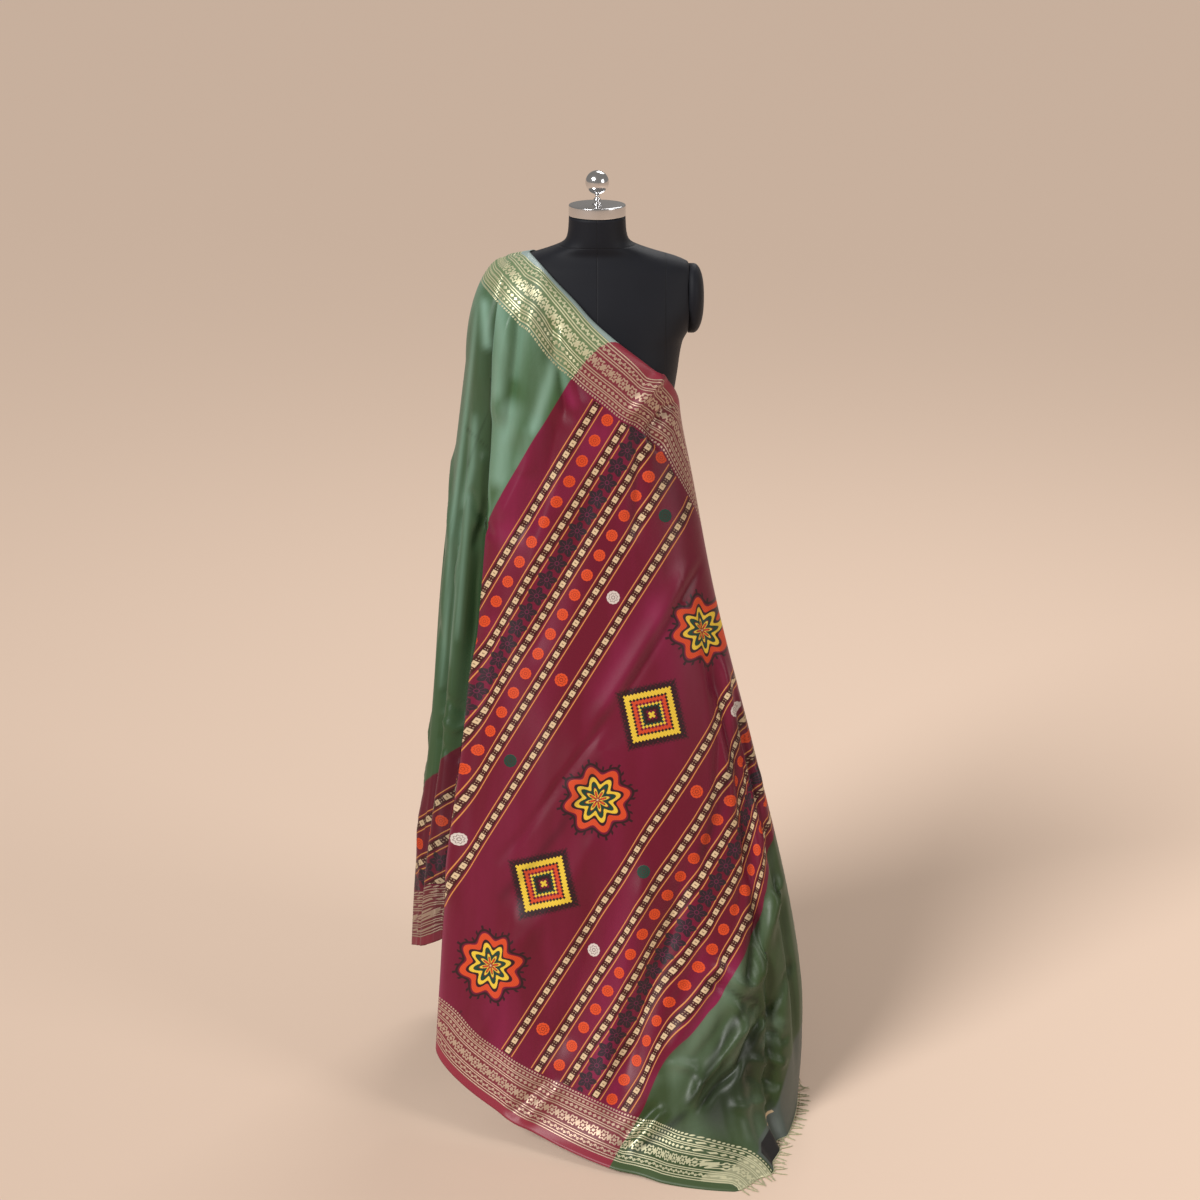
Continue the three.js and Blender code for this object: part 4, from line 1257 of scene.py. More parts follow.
    def _border(self, g: Graph, made: bpy.types.NodeOutputs, colour: Value, inside: Value, in_pallu: Value,
                length: Value, ends: tuple[Tone, Tone]) -> tuple[Value, Value]:
        """Lays one gold border over the colour.

        Args:
            g: the material's graph.
            made: the border's masks.
            colour: the colour under it.
            inside: a mask of the border's whole width.
            in_pallu: a mask of the patterned end.
            length: metres along the saree.
            ends: the colours of the plain edge and of the border's ground on the green.

        Returns:
            The colour, and a mask of the gold thread.
        """
        end = g.below(length, self.end_width, 0.004)
        ground = g.tint(end, g.tint(in_pallu, ends[1], self.wine), self.gold_green)
        colour = g.tint(g.times(made["Ground"], 0.55), colour, ground)
        colour = g.tint(g.both(made["Plain"], inside), colour, g.tint(in_pallu, ends[0], self.edge_maroon))
        gold = g.both(made["Gold"], inside)
        colour = g.tint(gold, colour, g.tint(in_pallu, self.gold_green, self.gold_maroon))
        return colour, g.math("MAXIMUM", gold, g.both(end, g.times(made["Ground"], 0.6)))

    def _rows(self, g: Graph, patterns: SilkPatterns, ground: Value, down: Value,
              across: Value) -> tuple[Value, Value]:
        """Lays the pallu's rows over its ground.

        Args:
            g: the material's graph.
            patterns: the woven patterns' node groups.
            ground: the plain colour under the rows.
            down: metres from the green body towards the fringed end.
            across: metres across the saree.

        Returns:
            The colour, and a mask of the coloured threads.
        """
        def offset(kind: Row) -> Value:
            """The signed distance to the nearest row of one kind."""
            rows = [row.at for row in PALLU_ROWS if row.kind is kind]
            best = g.minus(down, rows[0])
            for at in rows[1:]:
                other = g.minus(down, at)
                closer = g.math("LESS_THAN", g.size(other), g.size(best))
                best = g.plus(best, g.both(closer, g.minus(other, best)))
            return best

        blocks = g.group(patterns.block_line, Along=across, Across=offset(Row.BLOCKS))
        colour = g.tint(blocks["Ground"], ground, self.brown)
        colour = g.tint(blocks["Blocks"], colour, self.cream)
        colour = g.tint(blocks["Lines"], colour, self.line)
        dark = g.group(patterns.dark_flowers, Along=across, Across=offset(Row.DARK))
        colour = g.tint(g.times(dark["Flower"], 0.9), colour, self.slate)
        veins = g.both(dark["Flower"], g.times(dark["Cut"], 0.28))
        colour = g.tint(veins, colour, self.maroon_sheen_and_veins)
        spot = g.repeat(across, patterns.roundel_repeat, 0.2)
        discs = g.group(patterns.roundels, Along=spot, Across=offset(Row.ROUNDELS),
                        Radius=patterns.roundel_radius)
        fire = g.tint(g.times(discs["Cut"], 0.75), self.orange, self.deep_orange)
        colour = g.tint(discs["Disc"], colour, fire)
        moved = g.scaled(g.math("GREATER_THAN", down, 0.4), 0.042, across)
        count = g.math("FLOOR", g.scaled(moved, 1 / patterns.butti_repeat, 0.483))
        turn = g.math("MODULO", g.plus(count, 30.0), 3.0)
        spot = g.repeat(moved, patterns.butti_repeat, 0.483)
        butti = g.group(patterns.roundels, Along=spot, Across=offset(Row.BUTTIS),
                        Radius=patterns.butti_radius)
        flower = g.tint(g.below(turn, 1.5, 0.1), self.white, self.orange)
        flower = g.tint(g.below(turn, 0.5, 0.1), flower, self.leaf)
        flower = g.tint(g.times(butti["Cut"], 0.7), flower, self.brown)
        colour = g.tint(butti["Disc"], colour, flower)
        motif = g.group(patterns.motifs, Along=across, Across=g.minus(down, MOTIF_ROW))
        tones = {
            "Black": self.black, "Yellow": self.yellow, "Orange": self.orange,
            "Green": self.leaf, "Cream": self.cream,
        }
        for name, tone in tones.items():
            colour = g.tint(motif[name], colour, tone)
        threads = [blocks["Blocks"], blocks["Lines"], discs["Disc"], butti["Disc"]]
        threads += [motif["Yellow"], motif["Orange"]]
        return colour, g.either(threads)

    def _end_band(self, g: Graph, colour: Value, length: Value, edge: Value) -> Value:
        """Lays the silvery band of the fringed end, with its dark block and short light line.

        Args:
            g: the material's graph.
            colour: the colour under it.
            length: metres along the saree.
            edge: metres from the hem.

        Returns:
            The colour with the band.
        """
        band = g.below(length, self.end_width, 0.004)
        colour = g.tint(g.times(band, 0.85), colour, self.end_grey)
        block = g.both(g.below(length, 0.030, 0.001), g.near(edge, 0.150, 0.036))
        colour = g.tint(g.times(block, 0.92), colour, self.black)
        light = g.both(g.near(length, 0.034, 0.0016), g.near(edge, 0.205, 0.020))
        return g.tint(light, colour, self.cream)


@dataclass(frozen=True)
class FringeThread:
    """Twisted silk thread of the fringe."""

    light: Tone = (0.520, 0.470, 0.280)
    dark: Tone = (0.240, 0.250, 0.130)

    def build(self) -> bpy.types.Material:
        """Makes the material."""
        material, g, shader = new_material("fringe_thread")
        place = g.place()
        colour = g.tint(g.noise(place, 60.0, 3.0), self.dark, self.light)
        g.put(shader.inputs["Base Color"], colour)
        fine = g.noise(place, 900.0, 1.0)
        g.put(shader.inputs["Roughness"], g.scaled(fine, 0.2, 0.45))
        g.put(shader.inputs["Normal"], g.bump(fine, 0.0003, 0.6))
        shader.inputs["Sheen Weight"].default_value = 0.3
        return material


@dataclass(frozen=True)
class FormCloth:
    """The form's black stretch cloth, with its panel seams."""

    black: Tone = (0.0045, 0.005, 0.0075)
    grey: Tone = (0.012, 0.013, 0.019)
    seam: Tone = (0.003, 0.003, 0.004)
    seams: tuple[float, ...] = (0.0, 0.122, -0.122)
    neck_seam: float = 1.612
    seam_half: float = 0.0006
    seam_soft: float = 0.0016
    knit: float = 0.0016

    def build(self) -> bpy.types.Material:
        """Makes the material."""
        material, g, shader = new_material("form_cloth")
        place = g.place()
        axes = g.node("ShaderNodeSeparateXYZ", {0: place}).outputs
        rib = g.math("SINE", g.times(axes[2], 2 * math.pi / self.knit))
        wale = g.math("SINE", g.times(g.plus(axes[0], axes[1]), 2 * math.pi / self.knit))
        loops = g.scaled(g.both(rib, wale), 0.5, 0.5)
        grooves = [g.near(axes[0], seam, self.seam_half, self.seam_soft) for seam in self.seams]
        grooves.append(g.near(axes[2], self.neck_seam, self.seam_half, self.seam_soft))
        groove = g.either(grooves)
        wide = g.noise(place, 9.0, 2.0)
        colour = g.tint(g.times(wide, 0.7), self.black, self.grey)
        colour = g.tint(g.times(groove, 0.6), colour, self.seam)
        g.put(shader.inputs["Base Color"], colour)
        g.put(shader.inputs["Roughness"], g.scaled(wide, 0.12, 0.55))
        shader.inputs["Specular IOR Level"].default_value = 0.2
        height = g.minus(g.times(loops, 0.25), g.times(groove, 3.0))
        g.put(shader.inputs["Normal"], g.bump(height, 0.0004, 0.5))
        shader.inputs["Sheen Weight"].default_value = 0.08
        shader.inputs["Sheen Roughness"].default_value = 0.4
        return material


@dataclass(frozen=True)
class Metal:
    """A metal finish with faint wear."""

    name: str
    colour: Tone
    worn: Tone
    rough: float
    metallic: float

    def build(self) -> bpy.types.Material:
        """Makes the material."""
        material, g, shader = new_material(self.name)
        place = g.place()
        smear = g.noise(place, 28.0, 4.0)
        g.put(shader.inputs["Base Color"], g.tint(smear, self.colour, self.worn))
        g.put(shader.inputs["Roughness"], g.scaled(smear, self.rough * 0.6, self.rough * 0.7))
        shader.inputs["Metallic"].default_value = self.metallic
        g.put(shader.inputs["Normal"], g.bump(g.noise(place, 300.0, 2.0), 0.0001, 0.15))
        return material


@dataclass
class SareeFront:
    """The pallu over the front, the left pleat and fall, and the cloth up over the shoulder."""

    rows: int = 232
    left_columns: int = 40
    layer_columns: int = 7
    turn_columns: int = 5
    front_columns: int = 122
    inset: float = 0.0055
    spread: float = 0.004
    crowd: float = 1.12
    laid_along: tuple[float, float, float, float] = (0.311, -0.844, 0.183, 0.501)
    laid_across: tuple[float, float, float, float] = (0.128, 0.527, 0.322, 0.785)

    def columns_at(self, z: float) -> np.ndarray:
        """Every column's plan point at one height, from the left side to the right side.

        Args:
            z: the height.

        Returns:
            One plan point for each column.
        """
        front, left = front_line(z), left_line(z)
        depth = max(float(along(PLAN, "pleat", z)[0]), 0.0)
        open_ = float(smooth(depth / 0.020))
        clear = float(smooth((SHOULDER - z) / 0.09))
        shares = np.linspace(0, 1, self.left_columns)
        side = left.at(shares * (left.length - self.spread * (1 - open_)))
        side += np.array([0.006, 0.010]) * clear * smooth(shares)[:, None]
        push = hang_folds(left, shares, z, LEFT_FOLDS) * smooth((1 - shares) * 24)
        side += left.outward(shares * left.length) * push[:, None]
        radius = self.inset / 2
        turn = np.linspace(0, math.pi, self.turn_columns + 2)[1:-1]
        inner = np.linspace(0, 1, self.layer_columns)
        run = np.concatenate([
            inner * depth, depth + radius * np.sin(turn), depth * (1 - inner), radius - radius * np.sin(turn),
        ])
        under = np.concatenate([
            np.full(self.layer_columns, self.inset * 2), 1.5 * self.inset + radius * np.cos(turn),
            np.full(self.layer_columns, self.inset), radius + radius * np.cos(turn),
        ])
        count = len(run)
        straight = np.linspace(-self.spread, self.spread, count + 2)[1:-1]
        base = front.at(np.maximum(run, 0)) - front.outward(np.maximum(run, 0)) * under[:, None]
        both = Line(np.vstack([left.points, front.points[1:]]))
        plain = both.at(left.length + straight)
        pleat = plain + (base - plain) * open_
        start = lerp(self.spread, radius, open_)
        shares = np.linspace(0, 1, self.front_columns)
        distance = start + (front.length - start) * shares
        push = hang_folds(front, distance / front.length, z, FRONT_FOLDS)
        face = front.at(distance) + front.outward(distance) * push[:, None]
        return np.vstack([side, pleat, face])

    def shares(self) -> np.ndarray:
        """Each column's place: below 0 left of the fold, and from 0 to 1 across the front."""
        hidden = self.layer_columns * 2 + self.turn_columns * 2
        return np.concatenate([
            np.linspace(-1, PLEAT_SHARE, self.left_columns), np.linspace(-0.019, -0.001, hidden),
            np.linspace(0, 1, self.front_columns),
        ])

    def feet(self, shares: np.ndarray) -> np.ndarray:
        """The height of each column's lower end.

        Args:
            shares: each column's place.

        Returns:
            One height for each column.
        """
        corner = corner_share()
        front = FOLD_FOOT * np.maximum(1 - shares / corner, 0) ** FOOT_DROP
        hidden = lerp(FOLD_FOOT, PLEAT_FOOT, smooth(-shares / 0.019))
        left = lerp(PLEAT_FOOT, LEFT_FOOT, np.maximum(-shares, 0) ** 0.75)
        return np.where(shares >= 0, front, np.where(shares > PLEAT_SHARE, hidden, left))

    def points(self) -> tuple[np.ndarray, np.ndarray, np.ndarray]:
        """Works out the sheet.

        Returns:
            The grid of points, each column's share, and how far up the shoulder each point is.
        """
        levels = np.linspace(0, SHOULDER, 141)
        stack = np.stack([self.columns_at(z) for z in levels])
        shares = self.shares()
        foot = np.column_stack([stack[-1], np.full(len(shares), SHOULDER)])
        chest = Line(stack[-1])
        to_crest = np.interp(CREST_FOOT, shares, chest.sums)
        over = np.clip((shares - CREST_FOOT) / (CROSSING - CREST_FOOT), 0, 1)
        on_crest = crest(1 - np.clip(chest.sums / to_crest, 0, 1))
        top = np.where((shares < CREST_FOOT)[:, None], on_crest, selvedge(over))
        climb = np.linalg.norm(top - foot, axis=1) * OVER_SHOULDER
        beyond = shares > CROSSING
        climb[beyond] = (SIDE_SELVEDGE - SHOULDER) * (shares[beyond] - CROSSING) / (1 - CROSSING)
        feet = self.feet(shares)
        rows = np.linspace(0, 1, self.rows)[:, None] ** self.crowd
        way = feet + (SHOULDER + climb - feet) * rows
        grid = between_levels(levels, stack, np.minimum(way, SHOULDER))
        up = np.clip((way - SHOULDER) / np.maximum(climb, 1e-6), 0, 1)
        up[:, beyond] = 0
        high = up > 0
        row, column = np.nonzero(high)
        grid[row, column] = rise(foot[column], top[column], up[row, column])
        return grid, shares, up

    def fabric(self, grid: np.ndarray, shares: np.ndarray, up: np.ndarray) -> np.ndarray:
        """Metres along and across the saree at each point.

        Args:
            grid: the sheet's points.
            shares: each column's share.
            up: how far up the shoulder each point is.

        Returns:
            Rows by columns by 2.
        """
        x, y, z = grid[..., 0], grid[..., 1], grid[..., 2]
        s, t = (by[0] + by[1] * x + by[2] * y + by[3] * z for by in (self.laid_along, self.laid_across))
        corner = corner_share()
        beyond = smooth((shares - corner + 0.12) / 0.12)
        s = s - s[0] * beyond * np.exp(-z / 0.22)
        near = smooth((shares - 0.84) / 0.16) * np.ones_like(z)
        side_s, side_t = at_right_side(z)
        s = lerp(s, side_s, near)
        t = lerp(t, side_t, near)
        top = np.where(up > 0, 1, 0).argmax(axis=0)
        over = np.clip((shares - CREST_FOOT) / (CROSSING - CREST_FOOT), 0, 1)
        reach = Line(selvedge(np.linspace(0, 1, 60)))
        travelled = np.interp(over, np.linspace(0, 1, 60), reach.sums)
        end_s = SELVEDGE_AT_CREST - travelled + 0.06 * np.clip(CREST_FOOT - shares, 0, 1)
        column = np.arange(len(shares))
        start_s, start_t = s[top, column], t[top, column]
        climbing = up > 0
        s = np.where(climbing, start_s + (end_s - start_s) * up, s)
        t = np.where(climbing, start_t + (SAREE_WIDTH - start_t) * up, t)
        left = shares < 0
        width = float(Line(grid[self.rows // 3, shares <= PLEAT_SHARE]).length)
        left_s, left_t = on_left_side(z + up * 0.16, (1 + np.clip(shares, -1, 0)) * width)
        s = np.where(left, left_s, s)
        t = np.where(left, left_t, t)
        return np.dstack([s, t])

    def light(self, grid: np.ndarray, shares: np.ndarray) -> np.ndarray:
        """The painted sheen and the painted shade at each point, with painted shade on the left fall beside the
        fold.

        Args:
            grid: the sheet's points.
            shares: each column's place.

        Returns:
            Rows by columns by 2.
        """
        front = shares >= 0
        high = smooth((1.57 - grid[..., 2]) / 0.14)
        # Painted shade on the left fall, darkest beside the fold and fading out near the top
        fold_shade = (0.46 + 0.42 * np.exp(shares / 0.14)) * high
        # Painted highlight: a light rim along the front's fold edge
        rim = 0.30 * np.exp(-((shares - 0.012) / 0.010) ** 2) * high
        on_front = np.maximum(glow(grid, CHEST_SHEENS + END_SHEENS), rim)
        bright = np.where(front, on_front, glow(grid, FALL_SHEENS))
        dark = np.where(front, glow(grid, FRONT_SHADES), np.maximum(glow(grid, FALL_SHADES), fold_shade))
        dark = dark * (1 - 0.8 * bright)
        return np.dstack([bright, dark])

    def creases(self) -> tuple[Crease, ...]:
        """The creases of the front and the left fall, as listed."""
        return CHEST_CREASES + MIDDLE_CREASES + RIGHT_CREASES + FLOOR_CREASES + LEFT_CREASES

    def build(self, silk: bpy.types.Material, lines: "EdgeLines") -> bpy.types.Object:
        """Builds and dresses the sheet.

        Args:
            silk: the cloth's material.
            lines: where the saree's edges run.

        Returns:
            The finished piece.
        """
        grid, shares, up = self.points()
        fabric = self.fabric(grid, shares, up)
        grid = press(grid, self.creases())
        grid[..., 2] = np.maximum(grid[..., 2], 0.0012)
        edges = lines.distances(grid, shares < 0, np.zeros(len(shares), bool))
        obj = cloth_object("saree_front", grid, fabric, edges, self.light(grid, shares))
        obj.data.materials.append(silk)
        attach(obj, "root")
        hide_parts("front_drape", "left_fall", "shoulder_wrap")
        return obj


@dataclass
class SareeSide:
    """The right side of the pallu going on round the back to the corner of the fringed end."""

    rows: int = 150
    columns: int = 96

    def points(self) -> np.ndarray:
        """The grid of points, from the side to the corner behind."""
        levels = np.linspace(0, SIDE_SELVEDGE, 134)
        shares = np.linspace(0, 1, self.columns)
        stack = []
        for z in levels:
            line = return_line(z)
            push = hang_folds(line, shares, z, RETURN_FOLDS)
            spots = shares * line.length
            stack.append(line.at(spots) + line.outward(spots) * push[:, None])
        top = lerp(SIDE_SELVEDGE, TOP_CORNER + 0.014, shares**0.9)
        foot = lerp(0.0, TOP_CORNER - 0.014, shares**1.25)
        rows = np.linspace(0, 1, self.rows)[:, None]
        return between_levels(levels, np.stack(stack), foot + (top - foot) * rows)

    def build(self, silk: bpy.types.Material, lines: "EdgeLines") -> bpy.types.Object:
        """Builds and dresses the sheet.

        Args:
            silk: the cloth's material.
            lines: where the saree's edges run.

        Returns:
            The finished piece.
        """
        grid = self.points()
        shares = np.linspace(0, 1, self.columns)
        rows = np.linspace(0, 1, self.rows)[:, None]
        s = at_right_side(rows * SIDE_SELVEDGE)[0] * (1 - shares)
        foot = lerp(END_AT_SIDE, SAREE_WIDTH, shares)
        t = foot + (SAREE_WIDTH - foot) * rows
        grid[..., 2] = np.maximum(grid[..., 2], 0.0012)
        none = np.zeros(self.columns, bool)
        grid = press(grid, SIDE_CREASES)
        obj = cloth_object("saree_side", grid, np.dstack([s, t]), lines.distances(grid, none, none))
        obj.data.materials.append(silk)
        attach(obj, "root")
        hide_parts("right_return")
        return obj


@dataclass
class SareeBack:
    """The rest of the length behind the shoulder, in hanging pleats with its layers under it."""

    rows: int = 170
    columns: int = 150
    pleats: int = 6
    start: float = 0.26
    bottom: float = 0.12
    deep: float = 0.012
    thick: float = 0.016
    layers: int = 3
    layer_gap: float = 0.0042
    layer_step: float = 0.0060
    layer_tall: float = 0.16
    layer_rows: int = 26

    def points(self, under: float = 0.0, lift: float = 0.0, tall: float = 9.0) -> np.ndarray:
        """The grid of points, from the back end round to the left side.

        Args:
            under: how far this layer lies inside the outer one.
            lift: how much higher its lower end is.
            tall: how much of its height is made, from the lower end up.

        Returns:
            Rows by columns by 3.
        """
        levels = np.linspace(0.08, SHOULDER, 133)
        shares = np.linspace(1, 0, self.columns)
        stack = []
        for z in levels:
            line = back_line(z)
            down = np.clip((SHOULDER - z) / (SHOULDER - self.bottom), 0, 1)
            pleated = smooth((shares - self.start + 0.05) / 0.08)
            turn = (shares - self.start) / (1 - self.start) * self.pleats * 2 * math.pi
            wave = np.sin(turn) + 0.28 * np.sin(2 * turn + 0.7) + 0.10 * np.sin(turn * 0.37 + 1.0)
            push = (wave * self.deep * down**0.7 + self.thick * smooth(down * 4)) * pleated
            push -= under * smooth(down * 5)
            spots = shares * line.length
            stack.append(line.at(spots) - line.outward(spots) * push[:, None])
        stack = np.stack(stack)
        foot = np.column_stack([stack[-1], np.full(self.columns, SHOULDER)])
        top = crest(1 - shares)
        climb = np.linalg.norm(top - foot, axis=1) * OVER_SHOULDER
        side = lerp(LEFT_FOOT, BACK_FOOT, smooth(shares / self.start))
        step = smooth((shares - self.start) / 0.05)
        feet = lerp(side, self.bottom, step) + lift + 0.006 * np.sin(shares * 21) * step
        rows = np.linspace(0, 1, self.rows if tall > 1 else self.layer_rows)[:, None]
        way = feet + np.minimum(SHOULDER + climb - feet, tall) * rows
        grid = between_levels(levels, stack, np.minimum(way, SHOULDER))
        up = np.clip((way - SHOULDER) / climb, 0, 1)
        row, column = np.nonzero(up > 0)
        grid[row, column] = rise(foot[column], top[column], up[row, column])
        return grid

    def build_layers(self, silk: bpy.types.Material) -> list[bpy.types.Object]:
        """Builds and dresses the lower ends of the layers folded under the outer sheet, each a step lower.

        Args:
            silk: the cloth's material.

        Returns:
            The finished pieces, the innermost last.
        """
        made = []
        shares = np.linspace(1, 0, self.columns)
        kept = shares > self.start + 0.04
        for index in range(1, self.layers + 1):
            grid = self.points(self.layer_gap * index, -self.layer_step * index, self.layer_tall)[:, kept]
            s = np.broadcast_to(1.7 + 0.4 * index + shares[kept] * 0.5, grid.shape[:2])
            t = grid[..., 2] - self.bottom + self.layer_step * index
            edges = np.dstack([t, np.full(grid.shape[:2], 0.4)])
            obj = cloth_object(f"saree_back_layer_{index}", grid, np.dstack([s, t]), edges)
            obj.data.materials.append(silk)
            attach(obj, "root")
            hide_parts("back_fall")
            made.append(obj)
        return made

    def build(self, silk: bpy.types.Material, lines: "EdgeLines") -> bpy.types.Object:
        """Builds and dresses the outer sheet.

        Args:
            silk: the cloth's material.
            lines: where the saree's edges run.

        Returns:
            The finished piece.
        """
        grid = self.points()
        shares = np.linspace(1, 0, self.columns)
        s, t = on_left_side(grid[..., 2], -shares * 0.32)
        s = np.where(shares > self.start, 1.6 + s * 0.7, s)
        edges = lines.distances(grid, shares <= self.start, shares > self.start)
        grid = press(grid, BACK_CREASES)
        obj = cloth_object("saree_back", grid, np.dstack([s, t]), edges)
        obj.data.materials.append(silk)
        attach(obj, "root")
        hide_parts("back_fall")
        return obj


@dataclass
class Fringe:
    """The twisted tassels of the fringed end, knotted along its corded edge."""

    spacing: float = 0.0104
    length: float = 0.023
    thread: float = 0.00085
    twist: float = 0.0009
    cord: float = 0.0010
    knot: float = 0.0019

    def build(self, thread: bpy.types.Material, end: Line) -> bpy.types.Object:
        """Builds and dresses the fringe.

        Args:
            thread: its material.
            end: the fringed end's line, from the corner on the floor up to the corner behind.

        Returns:
            The finished piece.
        """
        bm = bmesh.new()
        count = int(end.length / self.spacing)
        edge = end.at(np.linspace(0.0, end.length, 260))
        edge[:, 2] = np.maximum(edge[:, 2], self.cord + 0.0006)
        tube(bm, edge, np.full(260, self.cord), 6)
        for index in range(count):
            spot = (index + 0.5) / count * end.length
            root = end.at(spot)[0]
            tangent = end.at(min(spot + 0.01, end.length))[0] - end.at(max(spot - 0.01, 0.0))[0]
            tangent /= np.linalg.norm(tangent)
            away = np.array([tangent[1], -tangent[0], 0.0])
            away /= max(float(np.linalg.norm(away)), 1e-6)
            lying = 1 - float(smooth(root[2] / 0.03))
            way = away * lerp(0.16, 1.0, lying) + np.array([0, 0, lying - 1])
            way += tangent * 0.30 * math.sin(index * 2.4) + away * 0.08 * math.sin(index * 1.3)
            way /= np.linalg.norm(way)
            self._tassel(bm, root, way, tangent, self.length * (1 + 0.14 * math.sin(index * 1.7)), index)
        return dressed("saree_fringe", bm, thread, ("end_fringe",))

    def _tassel(self, bm: bmesh.types.BMesh, root: np.ndarray, way: np.ndarray, aside: np.ndarray,
                length: float, index: int) -> None:
        """Adds one tassel of two twisted strands under a knot.

        Args:
            bm: the mesh that it is added to.
            root: where it hangs from.
            way: the direction that it hangs in.
            aside: the direction of the saree's end.
            length: its length.
            index: its place in the row, which varies its bend.
        """
        share = np.linspace(0, 1, 8)
        over = np.cross(way, aside)
        over /= max(float(np.linalg.norm(over)), 1e-6)
        bend = 0.0035 * math.sin(index * 0.9) * share[:, None] ** 2
        middle = root + way * (length * share[:, None]) + aside * bend
        for phase in (0.0, math.pi):
            turn = share * 9.0 + phase + index
            spread = self.twist * lerp(0.8, 1.5, share)
            swing = np.cos(turn)[:, None] * aside + np.sin(turn)[:, None] * over
            path = middle + swing * spread[:, None]
            path[:, 2] = np.maximum(path[:, 2], self.thread + 0.0005)
            tube(bm, path, self.thread * lerp(1.0, 0.35, share**3), 4)
        place = root + way * 0.004
        place[2] = max(place[2], self.knot)
        bmesh.ops.create_icosphere(bm, subdivisions=1, radius=self.knot, matrix=Matrix.Translation(place))


def dressed(name: str, bm: bmesh.types.BMesh, finish: bpy.types.Material, nodes: Sequence[str]) -> bpy.types.Object:
    """Turns a mesh into a dressed piece that stands for parts of the frame.

    Args:
        name: the piece's name.
        bm: its mesh, which is freed.
        finish: its material.
        nodes: the frame's parts that it replaces.

    Returns:
        The finished piece.
    """
    bmesh.ops.recalc_face_normals(bm, faces=bm.faces)
    mesh = bpy.data.meshes.new(name)
    bm.to_mesh(mesh)
    bm.free()
    mesh.shade_smooth()
    obj = bpy.data.objects.new(name, mesh)
    bpy.context.scene.collection.objects.link(obj)
    mesh.materials.append(finish)
    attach(obj, "root")
    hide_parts(*nodes)
    return obj


class EdgeLines:
    """Where the saree's hem and upper selvedge run in space."""

    def __init__(self, front: SareeFront, side: SareeSide, back: SareeBack) -> None:
        """Traces the edges on the sheets.

        Args:
            front: the front sheet.
            side: the right side's sheet.
            back: the back sheet.
        """
        grid, shares, _ = front.points()
        corner = corner_share()
        left = np.nonzero(shares <= PLEAT_SHARE)[0]
        face = np.nonzero((shares >= 0) & (shares <= corner))[0]
        rear = back.points()
        behind = np.linspace(1, 0, back.columns) <= back.start
        self.hem_left = Line(np.vstack([rear[0, behind][::4], grid[0, left][::4]]))
        self.hem_front = Line(grid[0, face][::3])
        chest = np.nonzero(shares >= CREST_FOOT)[0]
        self.top = Line(np.vstack([rear[::8, 0], grid[-1, chest][::4], side.points()[-1, ::6]]))
        self.end = Line(np.vstack([grid[0, shares >= corner], side.points()[0]]))

    def distances(self, grid: np.ndarray, left: np.ndarray, hemless: np.ndarray) -> np.ndarray:
        """Metres from the hem and from the upper selvedge at each point.

        Args:
            grid: rows by columns by 3.
            left: the columns whose hem is the left fall's.
            hemless: the columns that hang from a fold and have no hem.

        Returns:
            Rows by columns by 2.
        """
        flat = grid.reshape(-1, 3)
        shape = grid.shape[:2]
        hem = self.hem_front.distance(flat).reshape(shape)
        hem[:, left] = self.hem_left.distance(flat).reshape(shape)[:, left]
        hem[:, hemless] = 1.0
        return np.dstack([hem, self.top.distance(flat).reshape(shape)])


@dataclass(frozen=True)
class BodyRow:
    """The form's level section: its half width and its depth in front and behind."""

    z: float
    half: float
    front: float
    back: float


BODY = (
    BodyRow(0.800, 0.150, 0.104, 0.112),
    BodyRow(0.830, 0.162, 0.112, 0.122),
    BodyRow(0.900, 0.166, 0.116, 0.127),
    BodyRow(0.980, 0.158, 0.110, 0.118),
    BodyRow(1.070, 0.134, 0.098, 0.098),
    BodyRow(1.140, 0.121, 0.092, 0.086),
    BodyRow(1.220, 0.128, 0.112, 0.087),
    BodyRow(1.310, 0.136, 0.136, 0.095),
    BodyRow(1.380, 0.146, 0.132, 0.102),
    BodyRow(1.437, 0.155, 0.116, 0.104),
    BodyRow(1.462, 0.168, 0.108, 0.102),
    BodyRow(1.500, 0.184, 0.094, 0.098),
    BodyRow(1.550, 0.184, 0.072, 0.082),
    BodyRow(1.574, 0.172, 0.061, 0.067),
    BodyRow(1.588, 0.146, 0.052, 0.056),
    BodyRow(1.598, 0.111, 0.048, 0.052),
    BodyRow(1.607, 0.082, 0.050, 0.052),
    BodyRow(1.616, 0.062, 0.051, 0.052),
    BodyRow(1.630, 0.054, 0.051, 0.052),
    BodyRow(1.6627, 0.051, 0.050, 0.050),
)


